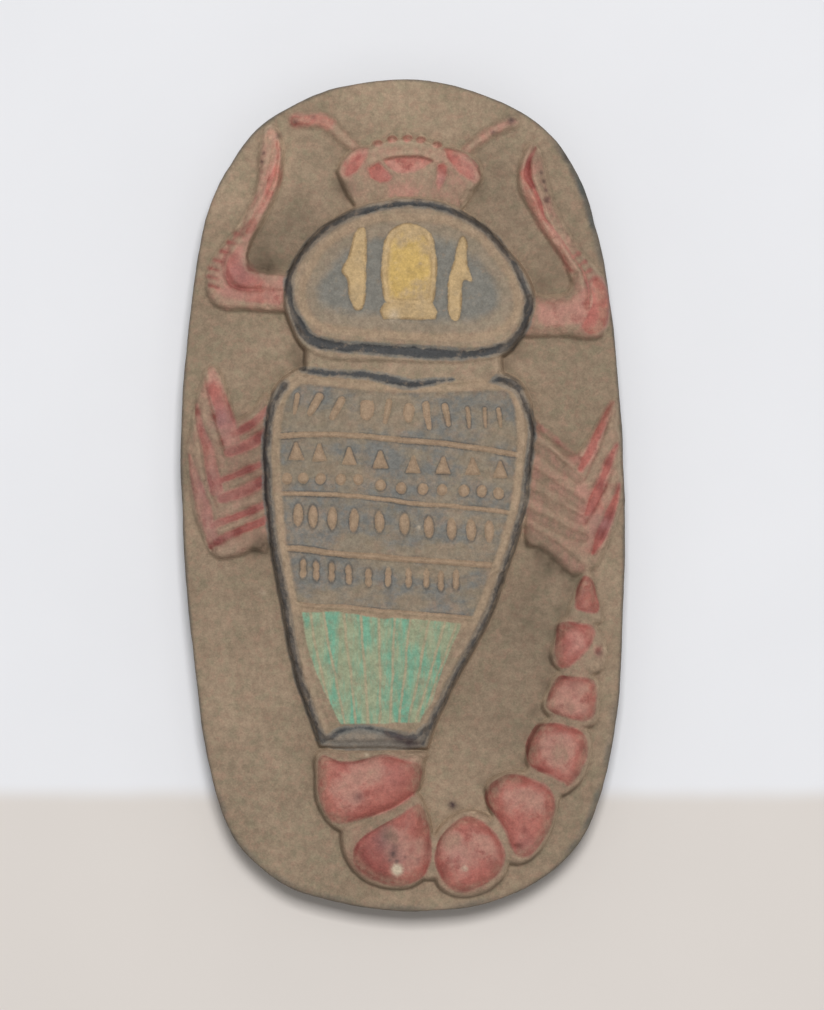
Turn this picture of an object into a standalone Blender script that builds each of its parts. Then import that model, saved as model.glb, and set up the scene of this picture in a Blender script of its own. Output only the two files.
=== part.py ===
"""An oval stone plaque, carved with a scorpion in relief and painted, lying on its flat back.

The plaque lies in the XY plane with its head end towards +Y and its carved face up. Outlines are
written as shares of the face, in percent: across runs from -50 to 50 over the plaque's width, and
along from -50 to 50 over its length. Heights, and the widths of grooves and marks, are real sizes.
"""

import math

import bmesh
import bpy
from mathutils import Vector

MM = 0.001
PERCENT = 0.01

# The stone
PLAQUE_WIDTH = 117.5 * MM
PLAQUE_LENGTH = 220.0 * MM
SLAB_THICKNESS = 26.0 * MM
EDGE_ROUND = 1.8 * MM
BACK_BEVEL = 3.0 * MM
BACK_TAPER = 1.5 * MM

# How high each form stands over the ground of the face
HEAD_RISE = 4.4 * MM
TOOTH_RISE = 3.9 * MM
ANTENNA_RISE = 2.4 * MM
CLAW_RISE = 4.2 * MM
CLAW_RIDGE_RISE = 5.0 * MM
THORAX_RISE = 8.6 * MM
NECK_RISE = 5.4 * MM
ABDOMEN_RISE = 7.4 * MM
LEG_PANEL_RISE = 2.2 * MM
LEG_RISE = 3.8 * MM
TAIL_BASE_RISE = 8.2 * MM
TAIL_TIP_RISE = 5.0 * MM
STINGER_RISE = 3.6 * MM

# Walls, rims and grooves
RELIEF_ROOT = 2.0 * MM
WALL_LEAN = 0.5 * MM
SHOULDER = 1.2 * MM
CLAW_SHOULDER = 0.8 * MM
THORAX_RIM = 0.9 * MM
THORAX_GROOVE_WIDTH = 1.7 * MM
THORAX_GROOVE_DEPTH = 1.5 * MM
THORAX_BAND = 3.4 * MM
THORAX_DISH = 0.5 * MM
ABDOMEN_LEDGE = 1.9 * MM
ABDOMEN_LEDGE_DROP = 1.1 * MM
ABDOMEN_RIM = 2.6 * MM
FIELD_DEPTH = 0.7 * MM
RECESS_DEPTH = 0.8 * MM

# Small carving
ANTENNA_WIDTH = 3.8 * MM
TOOTH_WIDTH = 3.3 * MM
TOOTH_LENGTH = 3.8 * MM
CLAW_RIDGE_WIDTH = 2.8 * MM
CLAW_TOOTH_WIDTH = 1.7 * MM
THIGH_WIDTH = 7.4 * MM
KNEE_WIDTH = 5.4 * MM
LEG_TIP_WIDTH = 2.8 * MM
THIGH_GROOVE_WIDTH = 1.2 * MM
LINE_WIDTH = 1.4 * MM
MARK_RISE = 0.6 * MM
STROKE_WIDTH = 1.9 * MM
STROKE_LENGTH = 6.8 * MM
TRIANGLE_WIDTH = 3.8 * MM
TRIANGLE_HEIGHT = 4.4 * MM
DISC_WIDTH = 3.2 * MM
DROP_WIDTH = 2.6 * MM
DROP_LENGTH = 6.0 * MM
PEG_WIDTH = 1.7 * MM
PEG_LENGTH = 4.8 * MM
RIB_WIDTH = 0.9 * MM
SIGN_RISE = 1.1 * MM

# Outlines, as shares of the face in percent
SLAB_OUTLINE = (
    (0.4, 50.0), (15.0, 48.7), (29.6, 45.0), (38.6, 39.3), (44.2, 30.6), (47.3, 20.4), (49.3, 7.8),
    (50.0, -3.0), (49.6, -13.8), (48.4, -25.2), (44.2, -36.6), (36.5, -43.8), (21.7, -48.6),
    (2.7, -50.0), (-16.4, -48.7), (-28.5, -46.2), (-37.7, -41.4), (-43.0, -34.2), (-46.6, -22.2),
    (-49.1, -7.8), (-50.0, 6.6), (-48.4, 19.8), (-44.6, 33.0), (-38.3, 40.2), (-30.3, 45.0),
    (-16.4, 48.7),
)
THORAX_OUTLINE = (
    (0.4, 35.6), (-7.4, 35.0), (-13.0, 33.8), (-18.6, 31.8), (-23.1, 29.0), (-25.8, 26.4),
    (-26.7, 23.7), (-25.8, 21.2), (-23.1, 18.2), (-19.0, 16.4), (-10.9, 15.8), (0.4, 15.6),
    (11.7, 15.6), (19.5, 16.0), (24.0, 17.2), (27.4, 19.6), (29.6, 22.8), (28.7, 25.4),
    (26.2, 27.6), (22.4, 29.9), (17.4, 32.4), (9.8, 34.8),
)
NECK_OUTLINE = ((-21.8, 18.4), (-22.6, 12.6), (22.9, 12.6), (22.2, 18.0))
HEAD_CROWN = (
    (-14.6, 38.7), (-13.2, 40.3), (-11.0, 41.2), (-7.4, 41.6), (0.4, 41.7), (8.3, 41.5),
    (13.5, 41.0), (16.6, 39.9), (17.5, 38.0),
)
HEAD_NECK = ((12.0, 33.4), (-9.3, 33.4))
TEETH = ((-6.1, 41.5), (-2.7, 41.9), (0.7, 42.0), (4.0, 41.9), (7.6, 41.5))
MOUTH_TOP = ((-4.3, 39.8), (-1.6, 40.5), (1.6, 40.7), (4.7, 40.5), (7.4, 39.8))
MOUTH_BOTTOM = ((5.6, 38.9), (1.6, 38.7), (-2.7, 38.9))
LEFT_EYE = ((-5.8, 40.0), (-7.4, 37.8), (-2.7, 37.8))
RIGHT_EYE = ((8.2, 40.0), (9.8, 39.8), (9.2, 35.9), (7.2, 35.9))
LEFT_ANTENNA = ((-10.1, 40.2), (-14.8, 42.8), (-18.6, 44.7), (-21.7, 44.9), (-24.4, 44.6))
RIGHT_ANTENNA = ((13.7, 40.2), (18.8, 42.3), (21.7, 43.6), (24.7, 44.8))
LEFT_CLAW_OUTLINE = (
    (-30.0, 44.2), (-32.0, 41.6), (-32.5, 37.8), (-34.3, 34.8), (-37.9, 31.4), (-41.9, 28.9),
    (-43.9, 26.4), (-43.7, 23.7), (-40.6, 22.3), (-34.3, 22.1), (-24.0, 22.3), (-24.0, 26.3),
    (-31.6, 26.9), (-34.8, 27.9), (-35.0, 29.4), (-33.0, 31.7), (-29.8, 34.5), (-27.6, 37.8),
    (-26.7, 40.6), (-27.6, 43.2),
)
RIGHT_CLAW_OUTLINE = (
    (29.0, 42.2), (26.6, 40.0), (26.0, 36.8), (28.5, 34.1), (32.5, 30.9), (36.1, 27.9),
    (37.7, 25.3), (35.2, 23.9), (26.0, 23.7), (26.0, 19.4), (35.2, 19.1), (42.4, 18.7),
    (45.5, 19.7), (46.4, 22.8), (44.8, 26.0), (40.1, 29.1), (35.4, 33.1), (32.7, 36.6),
    (31.6, 40.0),
)
LEFT_CLAW_RIDGE = (
    (-28.8, 42.2), (-28.8, 38.6), (-31.4, 34.8), (-36.2, 30.4), (-37.8, 27.2), (-35.4, 25.0),
)
RIGHT_CLAW_RIDGE = (
    (28.4, 39.6), (27.9, 36.6), (31.2, 33.0), (36.2, 29.0), (39.6, 25.6), (40.6, 21.6),
)
LEFT_CLAW_TEETH = (
    (-40.4, 29.8), (-41.8, 28.9), (-42.8, 27.9), (-43.4, 26.8), (-43.8, 25.6), (-43.8, 24.6),
)
RIGHT_CLAW_TEETH = (
    (35.0, 33.2), (36.5, 31.9), (38.0, 30.7), (39.8, 29.3), (41.6, 28.2), (43.2, 27.1),
)
ABDOMEN_TOP = (
    (-30.3, 10.8), (-28.7, 12.9), (-25.3, 14.5), (-20.9, 15.1), (-0.7, 14.2), (18.4, 14.4),
    (23.5, 14.4), (26.9, 13.2), (28.7, 10.9),
)
ABDOMEN_RIGHT = (
    (28.7, 10.9), (29.3, 6.6), (28.3, 1.2), (26.2, -4.2), (23.1, -9.6), (19.1, -15.0),
    (13.5, -20.7), (8.3, -26.0), (5.4, -30.3),
)
ABDOMEN_LEFT = (
    (-18.4, -30.2), (-21.3, -26.0), (-23.8, -21.6), (-26.0, -16.4), (-27.8, -11.4), (-29.6, -5.4),
    (-30.9, 1.2), (-31.2, 6.6), (-30.3, 10.8),
)
LEFT_LEG_PANEL = (
    (-26.5, 11.4), (-36.5, 9.0), (-41.2, 8.4), (-45.6, 7.8), (-46.9, 4.4), (-46.9, -0.6),
    (-44.8, -5.2), (-41.9, -7.3), (-37.4, -7.3), (-26.5, -4.4),
)
RIGHT_LEG_PANEL = (
    (25.1, 10.2), (31.8, 7.1), (38.1, 4.4), (43.3, 5.9), (46.9, 3.0), (48.0, -1.2), (45.7, -6.0),
    (43.2, -8.5), (40.1, -9.8), (34.3, -7.8), (23.5, -3.0),
)
LEFT_LEGS = (
    ((-28.7, 9.0), (-40.1, 5.9), (-43.3, 14.5)),
    ((-28.7, 3.2), (-42.6, -0.2), (-45.5, 11.6)),
    ((-28.7, -2.0), (-43.5, -6.4), (-47.1, 4.8)),
)
RIGHT_LEGS = (
    ((26.2, 7.2), (38.3, 1.8), (47.1, 11.2)),
    ((26.2, 2.0), (39.2, -3.5), (47.8, 5.8)),
    ((25.3, -2.4), (41.5, -8.2), (48.2, 1.0)),
)
TAIL_OUTLINES = (
    ((-18.4, -29.6), (-20.0, -33.7), (-19.5, -36.6), (-16.8, -39.2), (-12.8, -40.4), (-8.3, -39.3),
     (-1.2, -37.7), (3.9, -35.1), (4.9, -32.0), (4.6, -29.8), (-7.4, -28.6)),
    ((-13.7, -39.4), (-12.8, -43.5), (-8.3, -46.3), (-1.8, -47.2), (3.8, -46.6), (7.1, -44.0),
     (6.6, -40.2), (3.3, -35.6), (-3.1, -36.9), (-9.6, -38.6)),
    ((13.9, -37.6), (8.1, -39.7), (6.2, -43.5), (8.1, -47.1), (13.9, -48.2), (20.2, -47.0),
     (23.9, -44.2), (22.8, -41.1), (19.4, -38.3)),
    ((18.6, -35.0), (23.1, -33.2), (28.5, -33.4), (34.5, -35.2), (34.7, -38.0), (32.3, -41.6),
     (28.0, -43.9), (23.4, -43.9), (21.2, -40.4)),
    ((27.6, -32.3), (28.5, -29.4), (31.8, -27.0), (36.5, -26.9), (41.7, -28.4), (41.7, -32.0),
     (38.8, -34.9), (34.6, -36.1), (30.5, -34.2)),
    ((31.6, -25.7), (32.3, -23.4), (34.3, -21.3), (38.6, -21.0), (43.7, -22.3), (44.1, -24.8),
     (42.8, -27.6), (37.2, -28.0)),
    ((33.2, -20.0), (34.3, -16.9), (35.7, -14.8), (41.5, -14.8), (45.1, -17.6), (44.8, -20.9),
     (39.2, -22.0)),
)
STINGER_OUTLINE = (
    (41.3, -8.8), (38.8, -11.6), (36.8, -15.2), (41.0, -15.6), (45.0, -15.0), (43.7, -11.9),
)
REGISTER_LINES = (
    ((-28.5, 7.1), (-13.0, 7.1), (8.3, 6.2), (26.4, 4.7)),
    ((-28.0, 0.2), (-14.1, -0.1), (6.1, -1.1), (24.5, -2.1)),
    ((-26.7, -6.2), (-14.1, -7.0), (6.1, -7.8), (21.0, -8.4)),
    ((-24.5, -12.8), (-16.4, -13.4), (8.3, -14.4), (16.0, -14.7)),
)
STROKES = (
    (-23.9, 10.8), (-19.7, 10.7), (-14.8, 10.3), (-8.1, 10.1), (-3.6, 10.0), (1.3, 9.8), (5.4, 9.5),
    (9.6, 9.5), (14.6, 9.2), (18.4, 9.2), (21.7, 9.2),
)
TRIANGLES = (
    (-24.0, 5.2), (-18.8, 5.0), (-12.1, 4.6), (-4.9, 4.3), (2.2, 3.7), (9.0, 3.5), (15.5, 3.4),
    (21.7, 3.0),
)
DISCS = (
    (-26.0, 2.0), (-22.4, 2.0), (-18.6, 1.9), (-14.1, 1.8), (-10.1, 1.8), (-4.9, 1.2), (-0.4, 0.9),
    (4.3, 0.8), (8.7, 0.6), (13.5, 0.5), (17.5, 0.4), (21.3, 0.2),
)
DROPS = (
    (-23.5, -2.4), (-20.2, -2.6), (-15.7, -2.8), (-10.8, -3.1), (-5.2, -3.3), (0.2, -3.4),
    (5.6, -3.8), (10.8, -4.0), (15.2, -4.2), (19.3, -4.4),
)
PEGS = (
    (-22.4, -8.8), (-19.5, -9.1), (-15.9, -9.2), (-12.1, -9.5), (-7.8, -9.8), (-3.4, -9.7),
    (1.1, -9.8), (5.2, -9.9), (8.5, -10.2), (11.9, -10.1),
)
RIB_TOPS = (-21.1, -17.9, -13.2, -9.4, -5.2, -1.8, 1.8, 6.1, 9.6, 12.2)
RIB_BOTTOMS = (-15.5, -13.0, -10.5, -7.8, -5.2, -2.9, -0.9, 1.3, 2.9, 4.2)
RIB_TOP_ALONG = (-13.4, -15.0)
RIB_BOTTOM_ALONG = -27.4
CARTOUCHE_CENTRE = (1.3, 27.7)
CARTOUCHE_REACH = (6.1, 4.8)
CARTOUCHE_SQUARENESS = 3.0
CARTOUCHE_FOOT = ((-4.7, 22.5), (-4.7, 21.2), (7.0, 21.0), (7.0, 22.3))
LEFT_SIGN = (
    (-9.4, 31.5), (-8.3, 30.4), (-8.5, 23.4), (-10.3, 22.1), (-11.9, 23.6), (-13.5, 26.5),
    (-11.7, 28.2), (-11.2, 30.4),
)
RIGHT_SIGN = (
    (12.8, 30.5), (13.9, 29.6), (15.2, 26.0), (13.2, 25.5), (12.8, 21.5), (11.2, 20.8),
    (10.1, 21.9), (10.5, 26.0),
)

# Fineness of the facets
CURVE_STEPS = 2
EDGE_STEPS = 3
DOME_STEPS = 4
BEAD_SIDES = 4
DISC_SIDES = 8
CARTOUCHE_SIDES = 16
TOOTH_SIDES = 6
ROOT_STEP = 0.02 * MM

# Shares of a form's own width and height
SHARPEST_MITRE = 0.6
RIM_ROUND = 0.3
RIM_DROP = 0.4
GROOVE_INNER_DROP = 0.3
BAND_CREST = 0.4
LEDGE_ROUND = 0.4
RIM_CREST = (0.3, 0.8)
SHOULDER_TURN = (0.35, 0.3)
DOME_SPRING = 0.3
DOME_CREST = 0.87
STUD_SPRING = 0.7
STUD_CREST = 0.55
MARK_CREST = 0.75
SIGN_CREST = 0.85
STROKE_LEAN = 0.16
STROKE_TAPER = 0.6
BAR_SHOULDER = (0.95, 0.6)
BAR_CREST = (0.55, 1.0)
BAR_TIP = (0.5, 0.6)
THIGH_DROP = 0.92
THIGH_GROOVE_REACH = (0.12, 0.72)
RECESS_FLOOR = 0.8
RECESS_MOUTH = 1.1

# Paints and stone: colour, roughness
DUSTY_STONE = ((0.26, 0.20, 0.14), 0.85)
RED_PAINT = ((0.38, 0.13, 0.09), 0.7)
GREY_PAINT = ((0.12, 0.12, 0.12), 0.65)
GREEN_PAINT = ((0.16, 0.34, 0.22), 0.7)
YELLOW_PAINT = ((0.45, 0.32, 0.10), 0.7)


def clear_scene():
    for thing in list(bpy.data.objects):
        bpy.data.objects.remove(thing, do_unlink=True)


def make_material(name, finish):
    colour, roughness = finish
    material = bpy.data.materials.new(name)
    material.use_nodes = True
    shader = material.node_tree.nodes["Principled BSDF"]
    shader.inputs["Base Color"].default_value = (*colour, 1.0)
    shader.inputs["Roughness"].default_value = roughness
    shader.inputs["Metallic"].default_value = 0.0
    material.diffuse_color = (*colour, 1.0)
    return material


def on_face(point):
    """Turns a point in percent of the face into metres."""
    return Vector((point[0] * PERCENT * PLAQUE_WIDTH, point[1] * PERCENT * PLAQUE_LENGTH))


def to_face(points):
    return [on_face(point) for point in points]


def spline_point(before, start, end, after, share):
    """A point of the smooth curve that passes through start and end."""
    square = share * share
    cube = square * share
    return (
        start * 2
        + (end - before) * share
        + (before * 2 - start * 5 + end * 4 - after) * square
        + (start * 3 - before - end * 3 + after) * cube
    ) * 0.5


def closed_curve(points, steps=CURVE_STEPS):
    count = len(points)
    curve = []
    for i in range(count):
        before, start, end, after = (points[(i + offset) % count] for offset in (-1, 0, 1, 2))
        curve += [spline_point(before, start, end, after, j / steps) for j in range(steps)]
    return curve


def open_curve(points, steps=CURVE_STEPS):
    """The curve through the points, ends included."""
    padded = [points[0] * 2 - points[1], *points, points[-1] * 2 - points[-2]]
    curve = [
        spline_point(*padded[i : i + 4], j / steps) for i in range(len(points) - 1) for j in range(steps)
    ]
    return curve + [points[-1]]


def area_of(loop):
    return 0.5 * sum(a.cross(b) for a, b in zip(loop, loop[1:] + loop[:1]))


def counter_clockwise(loop):
    return loop if area_of(loop) > 0 else loop[::-1]


def inset(loop, distance):
    """Moves each edge of a counter-clockwise loop inwards by the distance, corners included."""
    count = len(loop)
    moved = []
    for i, point in enumerate(loop):
        arriving = (point - loop[i - 1]).normalized()
        leaving = (loop[(i + 1) % count] - point).normalized()
        half_turn = 0.5 * arriving.angle(leaving)
        along = (arriving + leaving).normalized()
        mitre = 1.0 / max(math.cos(half_turn), SHARPEST_MITRE)
        moved.append(point + Vector((-along.y, along.x)) * distance * mitre)
    return moved


def middle_of(loop):
    return sum(loop, Vector((0.0, 0.0))) / len(loop)


def shrink(loop, share):
    middle = middle_of(loop)
    return [middle + (point - middle) * share for point in loop]


def fit_to_plaque(loop):
    """Stretches the loop so that it spans exactly the plaque's width and length."""
    low_x, high_x = min(p.x for p in loop), max(p.x for p in loop)
    low_y, high_y = min(p.y for p in loop), max(p.y for p in loop)
    return [
        Vector((
            ((p.x - low_x) / (high_x - low_x) - 0.5) * PLAQUE_WIDTH,
            ((p.y - low_y) / (high_y - low_y) - 0.5) * PLAQUE_LENGTH,
        ))
        for p in loop
    ]


def ellipse(centre, reach_x, reach_y, sides=DISC_SIDES, squareness=2.0):
    """A loop that is an ellipse at a squareness of 2 and nears a box as that grows."""
    loop = []
    for i in range(sides):
        turn = 2 * math.pi * (i + 0.5) / sides
        x, y = math.cos(turn), math.sin(turn)
        reach = (abs(x) ** squareness + abs(y) ** squareness) ** (-1 / squareness)
        loop.append(centre + Vector((reach_x * x, reach_y * y)) * reach)
    return loop


class Relief:
    """Collects the carved forms, which are joined to the slab, and the hollows cut from it."""

    def __init__(self):
        self.forms = bpy.data.collections.new("Relief forms")
        self.hollows = bpy.data.collections.new("Hollows")
        bpy.context.scene.collection.children.link(self.forms)
        bpy.context.scene.collection.children.link(self.hollows)

    def root(self):
        """The underside of the next form. Each is a little deeper, so that no two share a plane."""
        return SLAB_THICKNESS - RELIEF_ROOT - ROOT_STEP * len(self.forms.objects)

    def add_form(self, name, rings, material):
        return add_helper(name, rings, material, self.forms)

    def add_hollow(self, name, rings, material):
        return add_helper(name, rings, material, self.hollows)


def solid_mesh(name, rings):
    """A closed mesh through rings of points, from the lowest ring to the highest, with flat ends."""
    mesh = bpy.data.meshes.new(name)
    work = bmesh.new()
    loops = [[work.verts.new(point) for point in ring] for ring in rings]
    for lower, upper in zip(loops, loops[1:]):
        for i in range(len(lower)):
            j = (i + 1) % len(lower)
            work.faces.new((lower[i], lower[j], upper[j], upper[i]))
    work.faces.new(loops[0][::-1])
    work.faces.new(loops[-1])
    bmesh.ops.recalc_face_normals(work, faces=work.faces)
    work.to_mesh(mesh)
    work.free()
    return mesh


def add_helper(name, rings, material, collection):
    mesh = solid_mesh(name, rings)
    mesh.materials.append(material)
    helper = bpy.data.objects.new(name, mesh)
    helper.hide_render = True
    helper.display_type = "WIRE"
    collection.objects.link(helper)
    return helper


def at_height(loop, height):
    return [(point.x, point.y, height) for point in loop]


def slab_rings():
    """The stone itself: flat back with a bevel, sides that taper to it, and a rounded upper edge."""
    outline = counter_clockwise(fit_to_plaque(closed_curve(to_face(SLAB_OUTLINE), CURVE_STEPS + 1)))
    rings = [
        at_height(inset(outline, BACK_TAPER + BACK_BEVEL), 0.0),
        at_height(inset(outline, BACK_TAPER), BACK_BEVEL),
        at_height(outline, SLAB_THICKNESS - 2 * EDGE_ROUND),
    ]
    for step in range(EDGE_STEPS + 1):
        turn = 0.5 * math.pi * step / EDGE_STEPS
        rings.append(at_height(
            inset(outline, EDGE_ROUND * (1 - math.cos(turn))),
            SLAB_THICKNESS - EDGE_ROUND * (1 - math.sin(turn)),
        ))
    return rings


def terrace(loop, root, steps):
    """Rings of a form whose wall and top are given as (inset from the outline, rise over the ground)."""
    loop = counter_clockwise(loop)
    rings = [at_height(inset(loop, -WALL_LEAN), root)]
    rings += [at_height(inset(loop, step), SLAB_THICKNESS + rise) for step, rise in steps]
    return rings


def low_block(loop, root, rise, shoulder=SHOULDER):
    """A form with a leaning wall, a soft shoulder and a flat top."""
    inwards, down = SHOULDER_TURN
    steps = (
        (0.0, rise - shoulder),
        (inwards * shoulder, rise - down * shoulder),
        (shoulder, rise),
    )
    return terrace(loop, root, steps)


def dome(loop, root, rise):
    """A cushion that swells to its middle."""
    loop = counter_clockwise(loop)
    spring = DOME_SPRING * rise
    rings = [at_height(loop, root), at_height(loop, SLAB_THICKNESS + spring)]
    for step in range(1, DOME_STEPS + 1):
        turn = 0.5 * math.pi * DOME_CREST * step / DOME_STEPS
        swell = spring + (rise - spring) * math.sin(turn)
        rings.append(at_height(shrink(loop, math.cos(turn)), SLAB_THICKNESS + swell))
    return rings


def stud(centre, width, length, root, rise):
    """A blunt little knob."""
    loop = ellipse(centre, 0.5 * width, 0.5 * length, TOOTH_SIDES)
    return [
        at_height(loop, root),
        at_height(loop, SLAB_THICKNESS + STUD_SPRING * rise),
        at_height(shrink(loop, STUD_CREST), SLAB_THICKNESS + rise),
    ]


def raised_mark(loop, field):
    """A small flat mark that stands on a field at the given height."""
    loop = counter_clockwise(loop)
    return [
        at_height(loop, field - MARK_RISE),
        at_height(shrink(loop, MARK_CREST), field + MARK_RISE),
    ]


def bead(path, widths, root, crest):
    """A rounded ridge along a path, with a width at each of its points, sunk to the root at its ends."""
    rings = []
    last = len(path) - 1
    for i, point in enumerate(path):
        along = (path[min(i + 1, last)] - path[max(i - 1, 0)]).normalized()
        across = Vector((-along.y, along.x)) * 0.5 * widths[i]
        ring = []
        for step in range(BEAD_SIDES + 1):
            turn = math.pi * step / BEAD_SIDES
            place = point + across * math.cos(turn)
            ring.append((place.x, place.y, root + (crest - root) * math.sin(turn)))
        rings.append(ring)
    return rings


def bar(start, end, start_width, end_width, root, rise):
    """A straight ridge with a flat-topped arch and a blunt end."""
    along = (end - start).normalized()
    sideways = Vector((-along.y, along.x))
    tip_width, tip_rise = BAR_TIP
    tip = end + along * 0.5 * tip_width * end_width
    stations = (
        (start, start_width, rise),
        (end, end_width, rise),
        (tip, tip_width * end_width, tip_rise * rise),
    )
    rings = []
    for point, width, top in stations:
        half = [(1.0, root)]
        half += [(reach, SLAB_THICKNESS + top * share) for reach, share in (BAR_SHOULDER, BAR_CREST)]
        ring = []
        for reach, height in half + [(-reach, height) for reach, height in reversed(half)]:
            place = point + sideways * 0.5 * width * reach
            ring.append((place.x, place.y, height))
        rings.append(ring)
    return rings


def recess(loop, rise):
    """A cutter for a shallow hollow in the top of a form that has this rise."""
    loop = counter_clockwise(loop)
    top = SLAB_THICKNESS + rise
    return [
        at_height(shrink(loop, RECESS_FLOOR), top - RECESS_DEPTH),
        at_height(shrink(loop, RECESS_MOUTH), top + RECESS_DEPTH),
    ]


def carve_head(relief, paint):
    crown = open_curve(to_face(HEAD_CROWN))
    relief.add_form("head", low_block(crown + to_face(HEAD_NECK), relief.root(), HEAD_RISE), paint)
    for centre in to_face(TEETH):
        tooth = stud(centre, TOOTH_WIDTH, TOOTH_LENGTH, relief.root(), TOOTH_RISE)
        relief.add_form("tooth", tooth, paint)
    for name, path in (("left antenna", LEFT_ANTENNA), ("right antenna", RIGHT_ANTENNA)):
        route = open_curve(to_face(path))
        widths = [ANTENNA_WIDTH] * len(route)
        top = SLAB_THICKNESS + ANTENNA_RISE
        relief.add_form(name, bead(route, widths, relief.root(), top), paint)
    mouth = open_curve(to_face(MOUTH_TOP)) + to_face(MOUTH_BOTTOM)
    relief.add_hollow("mouth", recess(mouth, HEAD_RISE), paint)
    relief.add_hollow("left eye", recess(to_face(LEFT_EYE), HEAD_RISE), paint)
    relief.add_hollow("right eye", recess(to_face(RIGHT_EYE), HEAD_RISE), paint)


def carve_claw(relief, name, outline, ridge, teeth, paint):
    loop = closed_curve(to_face(outline))
    relief.add_form(name, low_block(loop, relief.root(), CLAW_RISE, CLAW_SHOULDER), paint)
    route = open_curve(to_face(ridge))
    widths = [CLAW_RIDGE_WIDTH] * len(route)
    floor = SLAB_THICKNESS + CLAW_RISE - CLAW_SHOULDER
    crest = SLAB_THICKNESS + CLAW_RIDGE_RISE
    relief.add_form(f"{name} ridge", bead(route, widths, floor, crest), paint)
    for centre in to_face(teeth):
        knob = stud(centre, CLAW_TOOTH_WIDTH, CLAW_TOOTH_WIDTH, relief.root(), CLAW_RISE)
        relief.add_form(f"{name} tooth", knob, paint)


def carve_thorax(relief, paint, sign_paint):
    """A plateau with a groove round its rim, and three plain raised signs in the middle."""
    groove_end = THORAX_RIM + THORAX_GROOVE_WIDTH
    crest = THORAX_RISE - RIM_DROP * THORAX_GROOVE_DEPTH
    steps = (
        (0.0, crest - SHOULDER),
        (RIM_ROUND * THORAX_RIM, crest),
        (THORAX_RIM, crest),
        (THORAX_RIM + 0.5 * THORAX_GROOVE_WIDTH, THORAX_RISE - THORAX_GROOVE_DEPTH),
        (groove_end, THORAX_RISE - GROOVE_INNER_DROP * THORAX_GROOVE_DEPTH),
        (groove_end + BAND_CREST * THORAX_BAND, THORAX_RISE),
        (groove_end + THORAX_BAND, THORAX_RISE - THORAX_DISH),
    )
    outline = closed_curve(to_face(THORAX_OUTLINE))
    relief.add_form("thorax", terrace(outline, relief.root(), steps), paint)
    field = SLAB_THICKNESS + THORAX_RISE - THORAX_DISH
    middle, reach = on_face(CARTOUCHE_CENTRE), on_face(CARTOUCHE_REACH)
    signs = (
        ("cartouche", ellipse(middle, reach.x, reach.y, CARTOUCHE_SIDES, CARTOUCHE_SQUARENESS)),
        ("cartouche foot", to_face(CARTOUCHE_FOOT)),
        ("left sign", closed_curve(to_face(LEFT_SIGN))),
        ("right sign", closed_curve(to_face(RIGHT_SIGN))),
    )
    for name, loop in signs:
        loop = counter_clockwise(loop)
        rings = [at_height(loop, relief.root()), at_height(shrink(loop, SIGN_CREST), field + SIGN_RISE)]
        relief.add_form(name, rings, sign_paint)


def carve_abdomen(relief, paint, fan_paint, stone):
    """A plateau with a ledge and a rim round a sunk field, which holds rows of marks and a fan."""
    top = open_curve(to_face(ABDOMEN_TOP))
    right = open_curve(to_face(ABDOMEN_RIGHT))
    left = open_curve(to_face(ABDOMEN_LEFT))
    ledge = ABDOMEN_RISE - ABDOMEN_LEDGE_DROP
    rim_start, rim_end = (ABDOMEN_LEDGE + share * ABDOMEN_RIM for share in RIM_CREST)
    steps = (
        (0.0, ledge - LEDGE_ROUND * SHOULDER),
        (LEDGE_ROUND * SHOULDER, ledge),
        (ABDOMEN_LEDGE, ledge),
        (rim_start, ABDOMEN_RISE),
        (rim_end, ABDOMEN_RISE),
        (ABDOMEN_LEDGE + ABDOMEN_RIM, ABDOMEN_RISE - FIELD_DEPTH),
    )
    outline = top[:-1] + right + left[:-1]
    relief.add_form("abdomen", terrace(outline, relief.root(), steps), paint)
    relief.add_form("neck", low_block(to_face(NECK_OUTLINE), relief.root(), NECK_RISE), stone)
    field = SLAB_THICKNESS + ABDOMEN_RISE - FIELD_DEPTH
    for line in REGISTER_LINES:
        route = open_curve(to_face(line))
        ridge = bead(route, [LINE_WIDTH] * len(route), field - MARK_RISE, field + MARK_RISE)
        relief.add_form("register line", ridge, stone)
    carve_marks(relief, field, stone)
    carve_fan(relief, field, fan_paint)


def carve_marks(relief, field, stone):
    """Rows of plain marks: sloping strokes, triangles, discs, drops and small pegs."""
    slope = Vector((STROKE_LEAN * STROKE_LENGTH, 0.5 * STROKE_LENGTH))
    side = Vector((0.5 * STROKE_WIDTH, 0.0))
    for centre in to_face(STROKES):
        foot, head = centre - slope, centre + slope
        loop = [foot - side * STROKE_TAPER, foot + side * STROKE_TAPER, head + side, head - side]
        relief.add_form("stroke", raised_mark(loop, field), stone)
    for centre in to_face(TRIANGLES):
        low = centre.y - 0.5 * TRIANGLE_HEIGHT
        loop = [
            Vector((centre.x - 0.5 * TRIANGLE_WIDTH, low)),
            Vector((centre.x + 0.5 * TRIANGLE_WIDTH, low)),
            Vector((centre.x, centre.y + 0.5 * TRIANGLE_HEIGHT)),
        ]
        relief.add_form("triangle", raised_mark(loop, field), stone)
    rows = (
        (DISCS, DISC_WIDTH, DISC_WIDTH),
        (DROPS, DROP_WIDTH, DROP_LENGTH),
        (PEGS, PEG_WIDTH, PEG_LENGTH),
    )
    for centres, width, length in rows:
        for centre in to_face(centres):
            oval = ellipse(centre, 0.5 * width, 0.5 * length)
            relief.add_form("oval", raised_mark(oval, field), stone)


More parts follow.
